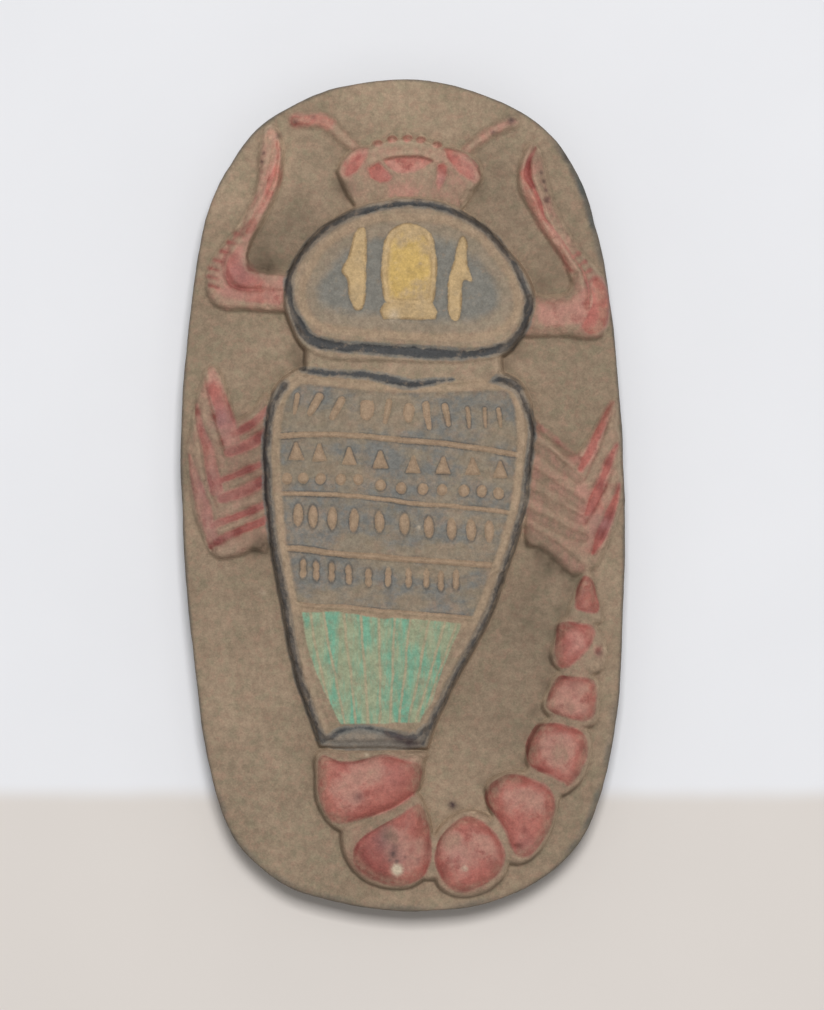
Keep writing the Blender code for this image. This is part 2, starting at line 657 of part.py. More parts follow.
def carve_fan(relief, field, paint):
    """Thin ribs that run together towards the tail."""
    first, last = RIB_TOP_ALONG
    for i, (top, bottom) in enumerate(zip(RIB_TOPS, RIB_BOTTOMS)):
        share = i / (len(RIB_TOPS) - 1)
        route = to_face(((top, first + (last - first) * share), (bottom, RIB_BOTTOM_ALONG)))
        rib = bead(route, [RIB_WIDTH] * 2, field - MARK_RISE, field + MARK_RISE)
        relief.add_form("rib", rib, paint)


def carve_legs(relief, name, panel, legs, paint, stone):
    """Three bent legs over a low panel that closes the gaps between them."""
    loop = closed_curve(to_face(panel))
    relief.add_form(f"{name} panel", low_block(loop, relief.root(), LEG_PANEL_RISE), stone)
    for hip, knee, tip in (to_face(leg) for leg in legs):
        thigh = bar(hip, knee, THIGH_WIDTH, KNEE_WIDTH, relief.root(), THIGH_DROP * LEG_RISE)
        relief.add_form(f"{name} thigh", thigh, paint)
        shin = bar(knee, tip, KNEE_WIDTH, LEG_TIP_WIDTH, relief.root(), LEG_RISE)
        relief.add_form(f"{name} shin", shin, paint)
        cut_groove(relief, hip, knee, paint)


def cut_groove(relief, hip, knee, paint):
    """The line that parts each thigh lengthwise."""
    across = (knee - hip).orthogonal().normalized() * 0.5 * THIGH_GROOVE_WIDTH
    start, end = (hip.lerp(knee, share) for share in THIGH_GROOVE_REACH)
    loop = [start - across, start + across, end + across, end - across]
    relief.add_hollow("thigh groove", recess(loop, THIGH_DROP * LEG_RISE), paint)


def carve_tail(relief, paint):
    """Swelling segments that curl round the foot of the plaque and up its side to the stinger."""
    last = len(TAIL_OUTLINES) - 1
    for i, outline in enumerate(TAIL_OUTLINES):
        rise = TAIL_BASE_RISE + (TAIL_TIP_RISE - TAIL_BASE_RISE) * i / last
        loop = closed_curve(to_face(outline))
        relief.add_form("tail segment", dome(loop, relief.root(), rise), paint)
    loop = closed_curve(to_face(STINGER_OUTLINE))
    relief.add_form("stinger", dome(loop, relief.root(), STINGER_RISE), paint)


def join_relief(plaque, relief):
    steps = (
        ("Carved forms", "UNION", relief.forms),
        ("Hollows", "DIFFERENCE", relief.hollows),
    )
    for name, operation, collection in steps:
        modifier = plaque.modifiers.new(name, "BOOLEAN")
        modifier.operation = operation
        modifier.operand_type = "COLLECTION"
        modifier.collection = collection
        modifier.solver = "EXACT"
        modifier.material_mode = "TRANSFER"


def main():
    clear_scene()
    stone = make_material("dusty stone", DUSTY_STONE)
    red = make_material("worn red paint", RED_PAINT)
    grey = make_material("worn blue-grey paint", GREY_PAINT)
    green = make_material("worn green paint", GREEN_PAINT)
    yellow = make_material("worn yellow paint", YELLOW_PAINT)
    mesh = solid_mesh("scorpion_amulet", slab_rings())
    mesh.materials.append(stone)
    plaque = bpy.data.objects.new("scorpion_amulet", mesh)
    bpy.context.scene.collection.objects.link(plaque)
    relief = Relief()
    carve_head(relief, red)
    carve_claw(relief, "left claw", LEFT_CLAW_OUTLINE, LEFT_CLAW_RIDGE, LEFT_CLAW_TEETH, red)
    carve_claw(relief, "right claw", RIGHT_CLAW_OUTLINE, RIGHT_CLAW_RIDGE, RIGHT_CLAW_TEETH, red)
    carve_thorax(relief, grey, yellow)
    carve_abdomen(relief, grey, green, stone)
    carve_legs(relief, "left leg", LEFT_LEG_PANEL, LEFT_LEGS, red, stone)
    carve_legs(relief, "right leg", RIGHT_LEG_PANEL, RIGHT_LEGS, red, stone)
    carve_tail(relief, red)
    join_relief(plaque, relief)


main()
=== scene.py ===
"""A worn, painted stone plaque carved with a scorpion, lying on its back under soft light.

The carved face is worked out as heights over a fine grid, then thinned to a mesh. Outlines are
shares of the face, in percent, as in the model: across runs from -50 to 50 over the plaque's
width and along from -50 to 50 over its length. Heights and widths are in millimetres.
"""

import math

import bpy
import numpy as np
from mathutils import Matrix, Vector


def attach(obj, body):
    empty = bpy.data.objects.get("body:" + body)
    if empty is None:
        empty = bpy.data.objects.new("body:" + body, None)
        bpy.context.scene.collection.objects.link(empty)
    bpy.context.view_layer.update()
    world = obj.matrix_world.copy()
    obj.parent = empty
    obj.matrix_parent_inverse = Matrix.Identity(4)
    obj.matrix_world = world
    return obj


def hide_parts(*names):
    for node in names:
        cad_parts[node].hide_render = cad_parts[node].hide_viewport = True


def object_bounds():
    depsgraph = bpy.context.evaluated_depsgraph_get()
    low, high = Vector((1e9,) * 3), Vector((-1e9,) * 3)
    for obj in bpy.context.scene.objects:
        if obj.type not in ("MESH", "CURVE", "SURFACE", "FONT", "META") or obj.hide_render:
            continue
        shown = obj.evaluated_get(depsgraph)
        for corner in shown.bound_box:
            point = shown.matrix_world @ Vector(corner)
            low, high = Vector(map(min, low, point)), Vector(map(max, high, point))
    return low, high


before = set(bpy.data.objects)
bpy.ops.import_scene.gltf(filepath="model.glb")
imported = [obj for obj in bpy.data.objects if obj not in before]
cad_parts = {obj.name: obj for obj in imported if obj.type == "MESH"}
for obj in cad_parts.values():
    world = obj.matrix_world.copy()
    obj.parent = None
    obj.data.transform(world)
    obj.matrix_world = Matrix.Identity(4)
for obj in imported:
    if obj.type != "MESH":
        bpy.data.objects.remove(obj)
cad_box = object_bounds()

MM = 0.001
low_corner, high_corner = cad_box
WIDTH = (high_corner[0] - low_corner[0]) / MM
LENGTH = (high_corner[1] - low_corner[1]) / MM

# The stone, in millimetres
SLAB_THICKNESS = 26.0
GRID_STEP = 0.3
REACH = 6.0
EDGE_ROUND = 1.8
EDGE_CUT = 0.35
SIDE_BULGE_DROP = 3.6
BACK_BEVEL = 3.0
BACK_TAPER = 1.5
SIDE_STEPS = (
    (EDGE_CUT * 0.35, SLAB_THICKNESS - 1.3), (0.0, SLAB_THICKNESS - 2.2),
    (0.0, SLAB_THICKNESS - SIDE_BULGE_DROP), (0.1, 18.0), (0.35, 14.0), (0.65, 10.0), (1.0, 6.5),
    (BACK_TAPER, BACK_BEVEL), (BACK_TAPER + 0.5, 1.6), (BACK_TAPER + 1.6, 0.5),
    (BACK_TAPER + BACK_BEVEL, 0.0), (BACK_TAPER + BACK_BEVEL + 1.5, 0.0),
)
MOST_TRIANGLES = 190000

# How high each form stands over the ground of the face
HEAD_RISE = 4.0
STUD_RISE = 4.3
ANTENNA_RISE = 2.0
CLAW_RISE = 3.6
ARM_RISE = 4.4
THORAX_RISE = 8.3
NECK_RISE = 6.5
ABDOMEN_RISE = 7.4
PANEL_RISE = 3.4
TAIL_BASE_RISE = 8.2
TAIL_TIP_RISE = 5.0
STINGER_RISE = 3.9
MARK_RISE = 0.75
SIGN_RISE = 0.9
RIB_RISE = 0.3
BROW_RISE = 0.5
FOREARM_RISE = 0.8

# How deep the finer carving is cut into the forms
LOBE_CUT = 0.6
MOUTH_CUT = 1.3
EYE_CUT = 0.8
RECESS_CUT = 0.5
DOT_STRIP_CUT = 0.45
CLAW_GROOVE_CUT = 0.7
CLAW_CREASE_CUT = 1.3
NOTCH_CUT = 0.7
DOT_CUT = 0.6
BIG_DOT_CUT = 0.7
THORAX_LINE_CUT = 0.95
THORAX_FIELD_CUTS = (0.5, 0.35)
OVAL_LINE_CUT = 0.35
LEG_BAND_CUT = 0.85
THIGH_CUT = 0.8
LEG_CREASE_CUT = 0.45
DOME_RIM_CUT = 0.28

# Half sizes and widths of the small marks
DISC_REACH = (1.3, 1.45)
DROP_REACH = (1.2, 2.7)
PEG_REACH = (0.95, 2.4)
PEG_WAIST = 0.35
PEG_WAIST_REACH = 0.8
STUD_REACH = (1.45, 1.8)
DOT_REACH = (0.65, 0.8)
BIG_DOT_REACH = (1.1, 1.1)
OVAL_LINE_REACH = (6.0, 9.6)
NOTCH_WIDTHS = (1.7, 0.8)
RIB_WIDTH = 0.75
TRIANGLE = ((-2.0, -2.2), (2.0, -2.2), (0.3, 2.3), (-0.3, 2.3))
MARK_REACH = 2.0

# Sizes and depths of the hand's wobble and of wear, and how far forms are smoothed, in grid cells
WOBBLE = (9.0, 0.28)
QUIVER = (3.1, 0.12)
FACE_BLUR = 0.9
CREST_BLUR = 4.0
BROAD_BLUR = 6.0
FINE_BLUR = 1.2
CHIP_SIZE = 4.0
CHIP_LEVEL = 0.45
CHIP_DEPTH = 1.4
CHIP_GAIN = 2.2
DEEPEST_CHIP = 0.7
WAVES = (15.0, 0.13)
RIPPLES = (3.5, 0.05)
SKIN = (0.9, 0.028)
PIT_SIZE = 2.2
PIT_LEVEL = 0.86
PIT_DEPTH = 1.6

# Walls from the foot to the shoulder of a form: how far inside its outline, and what share of its rise
STEEP_WALL = ((-0.3, 0.0), (0.0, 0.4), (0.3, 0.74), (0.7, 0.91), (1.4, 1.0))
SOFT_WALL = ((-0.4, 0.0), (0.05, 0.4), (0.5, 0.72), (1.2, 0.92), (2.4, 1.0))
ABDOMEN_WALL = (
    (-0.3, 0.0), (0.0, 0.4), (0.25, 0.72), (0.6, 0.83), (1.6, 0.84), (2.3, 0.97), (3.0, 1.0),
    (4.0, 0.99), (4.9, 0.91), (6.5, 0.9),
)
TAIL_WALL = (
    (-0.2, 0.0), (0.05, 0.3), (0.35, 0.52), (0.9, 0.65), (1.8, 0.76), (2.8, 0.86), (4.2, 0.93),
    (6.0, 0.98), (8.0, 1.0),
)
THORAX_WALL = ((-0.3, 0.0), (0.0, 0.45), (0.35, 0.8), (0.8, 0.91), (1.7, 0.96), (3.0, 1.0))

# Outlines, as shares of the face in percent
SLAB_OUTLINE = (
    (0.4, 50.0), (15.0, 48.7), (29.6, 45.0), (38.6, 39.3), (44.2, 30.6), (47.3, 20.4), (49.3, 7.8),
    (50.0, -3.0), (49.6, -13.8), (48.4, -25.2), (44.2, -36.6), (36.5, -43.8), (21.7, -48.6),
    (2.7, -50.0), (-16.4, -48.7), (-28.5, -46.2), (-37.7, -41.4), (-43.0, -34.2), (-46.6, -22.2),
    (-49.1, -7.8), (-50.0, 6.6), (-48.4, 19.8), (-44.6, 33.0), (-38.3, 40.2), (-30.3, 45.0),
    (-16.4, 48.7),
)
THORAX_OUTLINE = (
    (0.4, 35.6), (-7.4, 35.0), (-13.0, 33.8), (-18.6, 31.8), (-23.1, 29.0), (-25.8, 26.4),
    (-26.7, 23.7), (-25.8, 21.2), (-23.1, 18.2), (-19.0, 16.4), (-10.9, 15.8), (0.4, 15.6),
    (11.7, 15.6), (19.5, 16.0), (24.0, 17.2), (27.4, 19.6), (29.6, 22.8), (28.7, 25.4),
    (26.2, 27.6), (22.4, 29.9), (17.4, 32.4), (9.8, 34.8),
)
THORAX_LINE = (
    (0.4, 34.8), (-6.3, 34.3), (-13.0, 33.2), (-18.2, 31.4), (-22.4, 29.0), (-24.9, 26.7),
    (-25.6, 24.9), (-25.1, 23.0), (-23.8, 21.0), (-21.3, 18.9), (-17.5, 18.1), (-11.9, 17.7),
    (-0.7, 17.2), (8.3, 16.9), (16.1, 16.9), (22.9, 17.7), (26.2, 19.4), (28.0, 21.5),
    (28.3, 23.4), (27.1, 25.3), (24.9, 27.5), (21.7, 29.9), (17.7, 31.9), (13.2, 33.3),
    (7.2, 34.4),
)
THORAX_LINE_WIDTHS = (
    2.1, 2.3, 2.3, 2.3, 2.1, 2.3, 2.6, 2.4, 3.0, 3.6, 3.1, 2.9, 3.6, 3.3, 2.7, 2.8, 2.4, 2.4, 2.4,
    1.9, 1.9, 2.0, 2.1, 2.1, 2.1,
)
THORAX_FIELD = (
    (0.4, 33.1), (-7.4, 32.7), (-14.1, 31.1), (-19.1, 28.5), (-22.0, 25.4), (-22.2, 23.0),
    (-19.5, 20.7), (-13.0, 19.7), (-0.7, 19.2), (10.5, 18.8), (19.5, 19.3), (24.4, 21.0),
    (25.6, 23.4), (24.0, 26.1), (20.0, 29.1), (15.0, 31.3), (8.3, 32.7),
)
NECK_OUTLINE = ((-21.8, 18.4), (-22.6, 12.6), (22.9, 12.6), (22.2, 18.0))
HEAD_CROWN = (
    (-14.6, 38.7), (-13.2, 40.3), (-11.0, 41.2), (-7.4, 41.6), (0.4, 41.7), (8.3, 41.5),
    (13.5, 41.0), (16.6, 39.9), (17.5, 38.0),
)
HEAD_NECK = ((12.0, 33.4), (-9.3, 33.4))
STUDS = ((-5.7, 41.8), (-2.5, 42.3), (0.9, 42.4), (4.0, 42.2), (7.7, 41.6))
BROW = (
    (-7.2, 39.8), (-5.6, 40.4), (-2.8, 40.8), (1.0, 41.0), (4.9, 40.8), (7.5, 40.3), (9.1, 39.8),
)
MOUTH = (
    (-4.1, 40.2), (-1.6, 40.5), (1.0, 40.6), (4.0, 40.5), (6.8, 40.0), (5.6, 39.4), (3.1, 38.7),
    (0.4, 38.5), (-1.6, 38.7), (-3.7, 39.5),
)
LEFT_EYE = ((-5.4, 40.0), (-2.2, 38.2), (-2.8, 37.6), (-5.2, 37.3), (-7.5, 37.9), (-8.1, 39.2))
RIGHT_EYE = (
    (7.8, 39.6), (9.4, 39.8), (10.2, 39.3), (10.1, 38.2), (9.3, 37.3), (7.8, 36.0), (7.2, 37.3),
    (7.5, 38.5),
)
LEFT_LOBE = (
    (-14.1, 38.9), (-13.4, 40.0), (-11.8, 40.9), (-9.6, 41.5), (-7.5, 41.6), (-7.6, 40.6),
    (-8.8, 39.5), (-10.5, 38.4), (-12.5, 37.9), (-13.7, 38.2),
)
RIGHT_LOBE = (
    (9.1, 41.4), (11.4, 41.4), (14.0, 40.8), (16.2, 39.8), (17.5, 38.7), (17.3, 37.7),
    (16.0, 37.3), (13.7, 37.9), (11.8, 38.9), (10.2, 40.0),
)
LEFT_LOBE_LINE = ((-13.9, 39.6), (-12.6, 40.7), (-10.8, 41.3), (-8.7, 41.5))
RIGHT_LOBE_LINE = (
    (10.1, 41.4), (12.1, 41.2), (14.1, 40.6), (16.0, 39.7), (17.0, 38.7), (17.2, 37.8),
)
LEFT_ANTENNA = (
    (-10.5, 41.5), (-13.7, 42.9), (-16.4, 44.4), (-18.7, 44.9), (-21.7, 44.8), (-24.0, 44.8),
)
LEFT_ANTENNA_WIDTHS = (3.0, 3.4, 3.8, 4.1, 3.8, 2.6)
RIGHT_ANTENNA = ((14.4, 41.3), (17.9, 42.8), (21.1, 43.8), (24.7, 44.6))
RIGHT_ANTENNA_WIDTHS = (2.9, 2.9, 3.1, 3.3)
LEFT_CLAW_OUTLINE = (
    (-30.0, 44.2), (-32.0, 41.6), (-32.5, 37.8), (-34.3, 34.8), (-37.9, 31.4), (-41.9, 28.9),
    (-43.9, 26.4), (-43.7, 23.7), (-40.6, 22.3), (-34.3, 22.1), (-24.0, 22.3), (-24.0, 26.3),
    (-31.6, 26.9), (-34.8, 27.9), (-35.0, 29.4), (-33.0, 31.7), (-29.8, 34.5), (-27.6, 37.8),
    (-26.7, 40.6), (-27.6, 43.2),
)
RIGHT_CLAW_OUTLINE = (
    (29.0, 42.2), (26.6, 40.0), (26.0, 36.8), (28.5, 34.1), (32.5, 30.9), (36.1, 27.9),
    (37.7, 25.3), (35.2, 23.9), (26.0, 23.7), (26.0, 19.4), (35.2, 19.1), (42.4, 18.7),
    (45.5, 19.7), (46.4, 22.8), (44.8, 26.0), (40.1, 29.1), (35.4, 33.1), (32.7, 36.6),
    (31.6, 40.0),
)
LEFT_ARM = (
    (-28.3, 42.9), (-27.4, 41.4), (-27.6, 39.6), (-28.5, 37.5), (-30.3, 35.4), (-32.5, 33.2),
    (-34.8, 31.1), (-36.5, 29.1), (-37.0, 27.2), (-35.4, 26.0), (-31.6, 25.7), (-26.2, 25.4),
)
LEFT_ARM_WIDTHS = (1.6, 2.1, 2.4, 2.6, 3.2, 3.6, 4.2, 6.0, 7.0, 6.6, 5.6, 5.2)
LEFT_CLAW_GROOVE = (
    (-34.3, 32.7), (-36.5, 31.4), (-38.8, 29.9), (-40.1, 27.9), (-39.7, 26.1), (-37.4, 24.8),
    (-31.6, 24.5),
)
LEFT_CLAW_TIP_GROOVE = (
    (-29.6, 43.4), (-28.7, 42.6), (-28.9, 40.8), (-29.8, 39.0), (-31.6, 36.6), (-33.9, 34.5),
)
LEFT_ARM_RED = (
    (-28.1, 42.3), (-27.7, 40.2), (-28.3, 38.4), (-29.6, 36.8), (-31.3, 34.8), (-33.3, 32.8),
    (-35.3, 30.7),
)
LEFT_ARM_RED_WIDTHS = (1.4, 2.0, 3.0, 3.2, 2.8, 2.8, 3.4)
LEFT_ELBOW = (
    (-35.5, 30.7), (-34.1, 30.0), (-34.7, 28.6), (-33.3, 27.3), (-30.8, 26.6), (-26.6, 26.2),
    (-26.6, 23.0), (-32.2, 22.8), (-38.2, 23.1), (-42.3, 24.2), (-43.3, 25.5), (-40.2, 24.9),
    (-38.7, 26.6), (-39.1, 28.4), (-37.2, 30.0),
)
LEFT_RECESS = (
    (-37.0, 29.9), (-35.4, 30.1), (-35.0, 28.6), (-34.0, 27.4), (-31.8, 26.6), (-30.8, 25.5),
    (-31.8, 24.4), (-35.5, 24.2), (-38.6, 24.7), (-39.9, 26.0), (-39.5, 27.8), (-38.4, 29.1),
)
LEFT_TEETH = (
    (-37.7, 31.2), (-39.2, 30.2), (-40.7, 29.2), (-42.2, 28.1), (-43.2, 27.1), (-43.6, 26.1),
    (-43.3, 25.0),
)
LEFT_NOTCH_STEP = (2.3, -0.6)
LEFT_CLAW_DOTS = (
    (-31.4, 42.0), (-31.2, 40.9), (-31.6, 39.8), (-31.7, 38.6), (-31.8, 37.1), (-33.0, 35.6),
    (-34.4, 34.2),
)
RIGHT_CREASE = (
    (29.7, 41.5), (28.5, 40.1), (28.1, 38.2), (29.1, 36.8), (30.4, 35.1), (31.7, 33.3),
    (33.5, 32.0), (35.5, 30.5), (36.9, 29.4), (38.6, 28.1), (40.3, 26.8), (41.2, 25.4),
    (41.6, 24.1), (41.0, 22.4),
)
RIGHT_CREASE_WIDTHS = (0.9, 1.5, 1.9, 1.5, 1.2, 1.0, 0.9, 0.9, 0.9, 0.8, 0.8, 0.9, 0.8, 0.5)
RIGHT_DOT_STRIP = (
    (30.4, 40.4), (31.2, 38.4), (32.0, 36.2), (33.4, 34.0), (35.2, 32.4), (37.4, 30.8),
    (39.6, 29.2),
)
RIGHT_ARM_RED = (
    (27.4, 38.4), (28.1, 36.4), (29.8, 34.4), (31.7, 32.5), (33.8, 30.9), (35.9, 29.0),
    (37.6, 27.2),
)
RIGHT_ELBOW = (
    (42.8, 26.1), (44.5, 26.1), (45.9, 24.6), (46.4, 23.0), (46.1, 21.3), (45.2, 20.0),
    (42.4, 19.1), (39.7, 20.0), (41.0, 21.7), (42.4, 23.1), (42.1, 24.8),
)
RIGHT_FOREARM = (
    (30.4, 23.3), (36.2, 23.5), (38.3, 24.2), (41.0, 25.2), (42.4, 23.1), (41.0, 20.7),
    (35.5, 20.0), (30.4, 20.4),
)
RIGHT_CLAW_DOTS = (
    (30.4, 39.8), (31.0, 38.5), (31.5, 37.5), (31.8, 36.5), (32.9, 34.1), (33.7, 33.5),
    (34.8, 32.7), (35.7, 31.9), (36.9, 31.1), (37.9, 30.3),
)
RIGHT_BIG_DOT = (32.0, 35.3)
RIGHT_TEETH = ((39.4, 28.9), (40.8, 27.9), (42.0, 26.9), (43.2, 26.0))
RIGHT_NOTCH_STEP = (-1.6, -1.0)
ABDOMEN_TOP = (
    (-30.3, 10.8), (-28.7, 12.9), (-25.3, 14.5), (-20.9, 15.1), (-0.7, 14.2), (18.4, 14.4),
    (23.5, 14.4), (26.9, 13.2), (28.7, 10.9),
)
ABDOMEN_RIGHT = (
    (28.7, 10.9), (29.3, 6.6), (28.3, 1.2), (26.2, -4.2), (23.1, -9.6), (19.1, -15.0),
    (13.5, -20.7), (8.3, -26.0), (5.4, -30.3),
)
ABDOMEN_LEFT = (
    (-18.4, -30.2), (-21.3, -26.0), (-23.8, -21.6), (-26.0, -16.4), (-27.8, -11.4), (-29.6, -5.4),
    (-30.9, 1.2), (-31.2, 6.6), (-30.3, 10.8),
)
ABDOMEN_TOP_LINE = (
    (-22.6, 14.9), (-16.4, 14.6), (-9.6, 14.4), (-4.0, 13.8), (-0.7, 13.4), (2.0, 13.2),
    (4.9, 13.4), (8.3, 13.7), (11.0, 13.8),
)
ABDOMEN_TOP_LINE_WIDTHS = (1.4, 1.7, 1.9, 2.4, 2.6, 2.4, 1.9, 1.3, 0.8)
ABDOMEN_RIGHT_LINE = (
    (24.4, 13.2), (25.8, 12.5), (27.1, 11.2), (28.3, 9.6), (28.9, 7.8), (28.7, 5.9), (28.3, 4.0),
    (27.6, 1.8), (27.1, -0.2), (26.2, -2.4), (25.3, -4.2), (24.2, -6.4), (22.2, -9.6),
    (20.0, -12.9), (16.8, -16.4), (13.7, -19.5), (10.5, -22.8), (7.8, -25.5), (5.6, -28.2),
    (4.5, -29.6),
)
ABDOMEN_LEFT_LINE = (
    (-26.5, 13.1), (-28.3, 11.9), (-29.6, 10.2), (-30.3, 8.4), (-30.7, 6.0), (-30.7, 3.6),
    (-30.5, 1.2), (-30.0, -1.2), (-29.4, -3.6), (-28.7, -6.0), (-28.0, -8.4), (-26.9, -11.6),
    (-25.8, -15.0), (-24.4, -18.6), (-22.9, -22.2), (-21.3, -24.9), (-19.5, -27.5), (-17.7, -29.4),
)
FOOT_BAND = (
    (-18.5, -30.0), (-19.3, -28.7), (-16.0, -28.8), (-14.1, -27.9), (-9.0, -27.5), (-3.0, -28.3),
    (2.4, -28.8), (5.7, -27.4), (4.3, -30.2), (-6.8, -30.6), (-15.0, -30.4),
)
FOOT_LINE = (
    (-18.8, -29.2), (-16.0, -28.9), (-14.0, -28.1), (-9.0, -27.7), (-3.0, -28.5), (2.4, -28.9),
    (5.1, -27.8),
)
FOOT_LINE_WIDTHS = (1.4, 2.0, 1.6, 1.0, 2.0, 2.6, 1.6)
CORNER_PATCH = (
    (19.1, 13.5), (21.1, 14.3), (23.5, 14.4), (25.8, 13.8), (27.1, 12.8), (26.5, 11.8),
    (24.4, 12.6), (21.7, 13.2),
)
REGISTER_LINES = (
    ((-28.5, 7.1), (-13.0, 7.1), (8.3, 6.2), (26.4, 4.7)),
    ((-28.0, 0.2), (-14.1, -0.1), (6.1, -1.1), (24.5, -2.1)),
    ((-26.7, -6.2), (-14.1, -7.0), (6.1, -7.8), (21.0, -8.4)),
    ((-24.5, -12.8), (-16.4, -13.4), (8.3, -14.4), (16.0, -14.7)),
)
REGISTER_LINE_WIDTHS = (1.3, 1.0, 1.4, 1.1)
# Each stroke: its middle in percent, then its lean, width and length in millimetres, and how clear it is
STROKES = (
    (-23.9, 10.8, 0.8, 1.5, 6.0, 0.6), (-19.7, 10.7, 2.4, 2.0, 6.4, 1.0),
    (-14.8, 10.3, 2.4, 1.9, 6.6, 1.0), (-8.1, 10.1, 0.0, 4.4, 6.6, 0.75),
    (-3.6, 10.0, 0.8, 1.8, 7.2, 0.6), (1.3, 9.8, 0.2, 2.9, 5.6, 0.8),
    (5.4, 9.5, -0.6, 1.6, 7.6, 0.9), (9.6, 9.5, -1.0, 1.6, 6.4, 0.85),
    (14.6, 9.2, -0.6, 1.4, 6.4, 0.45), (18.4, 9.2, -0.4, 1.3, 6.2, 0.4),
    (21.7, 9.2, -0.8, 1.4, 6.0, 0.45),
)
TRIANGLES = (
    (-24.0, 5.2), (-18.8, 5.0), (-12.1, 4.6), (-4.9, 4.3), (2.2, 3.7), (9.0, 3.5), (15.5, 3.4),
    (21.7, 3.0),
)
DISCS = (
    (-26.0, 2.0), (-22.4, 2.0), (-18.6, 1.9), (-14.1, 1.8), (-10.1, 1.8), (-4.9, 1.2), (-0.4, 0.9),
    (4.3, 0.8), (8.7, 0.6), (13.5, 0.5), (17.5, 0.4), (21.3, 0.2),
)
DROPS = (
    (-23.5, -2.4), (-20.2, -2.6), (-15.7, -2.8), (-10.8, -3.1), (-5.2, -3.3), (0.2, -3.4),
    (5.6, -3.8), (10.8, -4.0), (15.2, -4.2), (19.3, -4.4),
)
PEGS = (
    (-22.4, -8.8), (-19.5, -9.1), (-15.9, -9.2), (-12.1, -9.5), (-7.8, -9.8), (-3.4, -9.7),
    (1.1, -9.8), (5.2, -9.9), (8.5, -10.2), (11.9, -10.1),
)
GREEN_FAN = (
    (-22.8, -13.9), (-15.2, -14.0), (-7.4, -14.6), (3.8, -14.9), (13.2, -15.3), (10.5, -18.6),
    (6.5, -24.6), (3.8, -27.2), (-6.0, -27.3), (-14.1, -27.3), (-17.5, -23.4), (-20.9, -18.6),
)
RIB_TOPS = (-21.1, -17.9, -13.2, -9.4, -5.2, -1.8, 1.8, 6.1, 9.6, 12.2)
RIB_BOTTOMS = (-15.5, -13.0, -10.5, -7.8, -5.2, -2.9, -0.9, 1.3, 2.9, 4.2)
RIB_TOP_ALONG = (-13.6, -15.0)
RIB_BOTTOM_ALONG = -27.4
CARTOUCHE = (
    (1.3, 32.4), (-1.6, 31.9), (-3.8, 30.4), (-4.6, 27.6), (-4.5, 24.4), (-3.6, 22.9), (1.3, 22.7),
    (6.3, 22.9), (7.3, 24.6), (7.7, 27.8), (6.5, 30.8), (4.3, 32.0),
)
CARTOUCHE_FOOT = ((-4.3, 23.0), (-5.2, 22.0), (-4.6, 21.1), (7.2, 21.0), (7.9, 21.9), (6.7, 23.0))
LEFT_SIGN = (
    (-9.4, 31.9), (-8.1, 30.8), (-8.5, 23.4), (-10.3, 22.1), (-11.9, 23.6), (-12.2, 25.6),
    (-13.5, 26.7), (-11.9, 28.6), (-11.0, 31.0),
)
RIGHT_SIGN = (
    (12.9, 30.7), (14.2, 30.0), (14.6, 27.6), (15.6, 25.6), (13.4, 25.4), (12.9, 21.5),
    (11.4, 20.7), (10.3, 21.9), (10.3, 25.4), (11.6, 28.0),
)
LEFT_PANEL = (
    (-44.6, 14.5), (-42.8, 15.5), (-41.0, 14.7), (-39.5, 12.6), (-38.3, 10.4), (-37.2, 9.1),
    (-33.9, 10.1), (-29.8, 11.4), (-29.4, -5.2), (-33.2, -6.5), (-37.0, -7.3), (-40.6, -7.7),
    (-42.6, -7.3), (-44.2, -6.0), (-45.7, -3.8), (-46.9, -1.4), (-47.5, 1.0), (-48.2, 3.2),
    (-48.4, 5.0), (-47.5, 7.6), (-46.9, 10.2), (-46.0, 11.9), (-45.1, 13.3),
)
RIGHT_PANEL = (
    (27.6, 9.0), (31.8, 7.3), (34.8, 6.1), (37.0, 5.2), (39.0, 5.2), (41.5, 6.8), (43.7, 8.8),
    (45.7, 10.4), (47.3, 11.6), (48.2, 10.9), (47.8, 8.4), (48.7, 6.8), (48.4, 4.2), (49.1, 1.8),
    (48.7, -1.0), (47.3, -3.8), (45.5, -6.1), (44.2, -8.0), (42.4, -9.0), (39.2, -9.7),
    (37.0, -9.2), (34.1, -7.8), (30.7, -6.4), (27.1, -4.7),
)
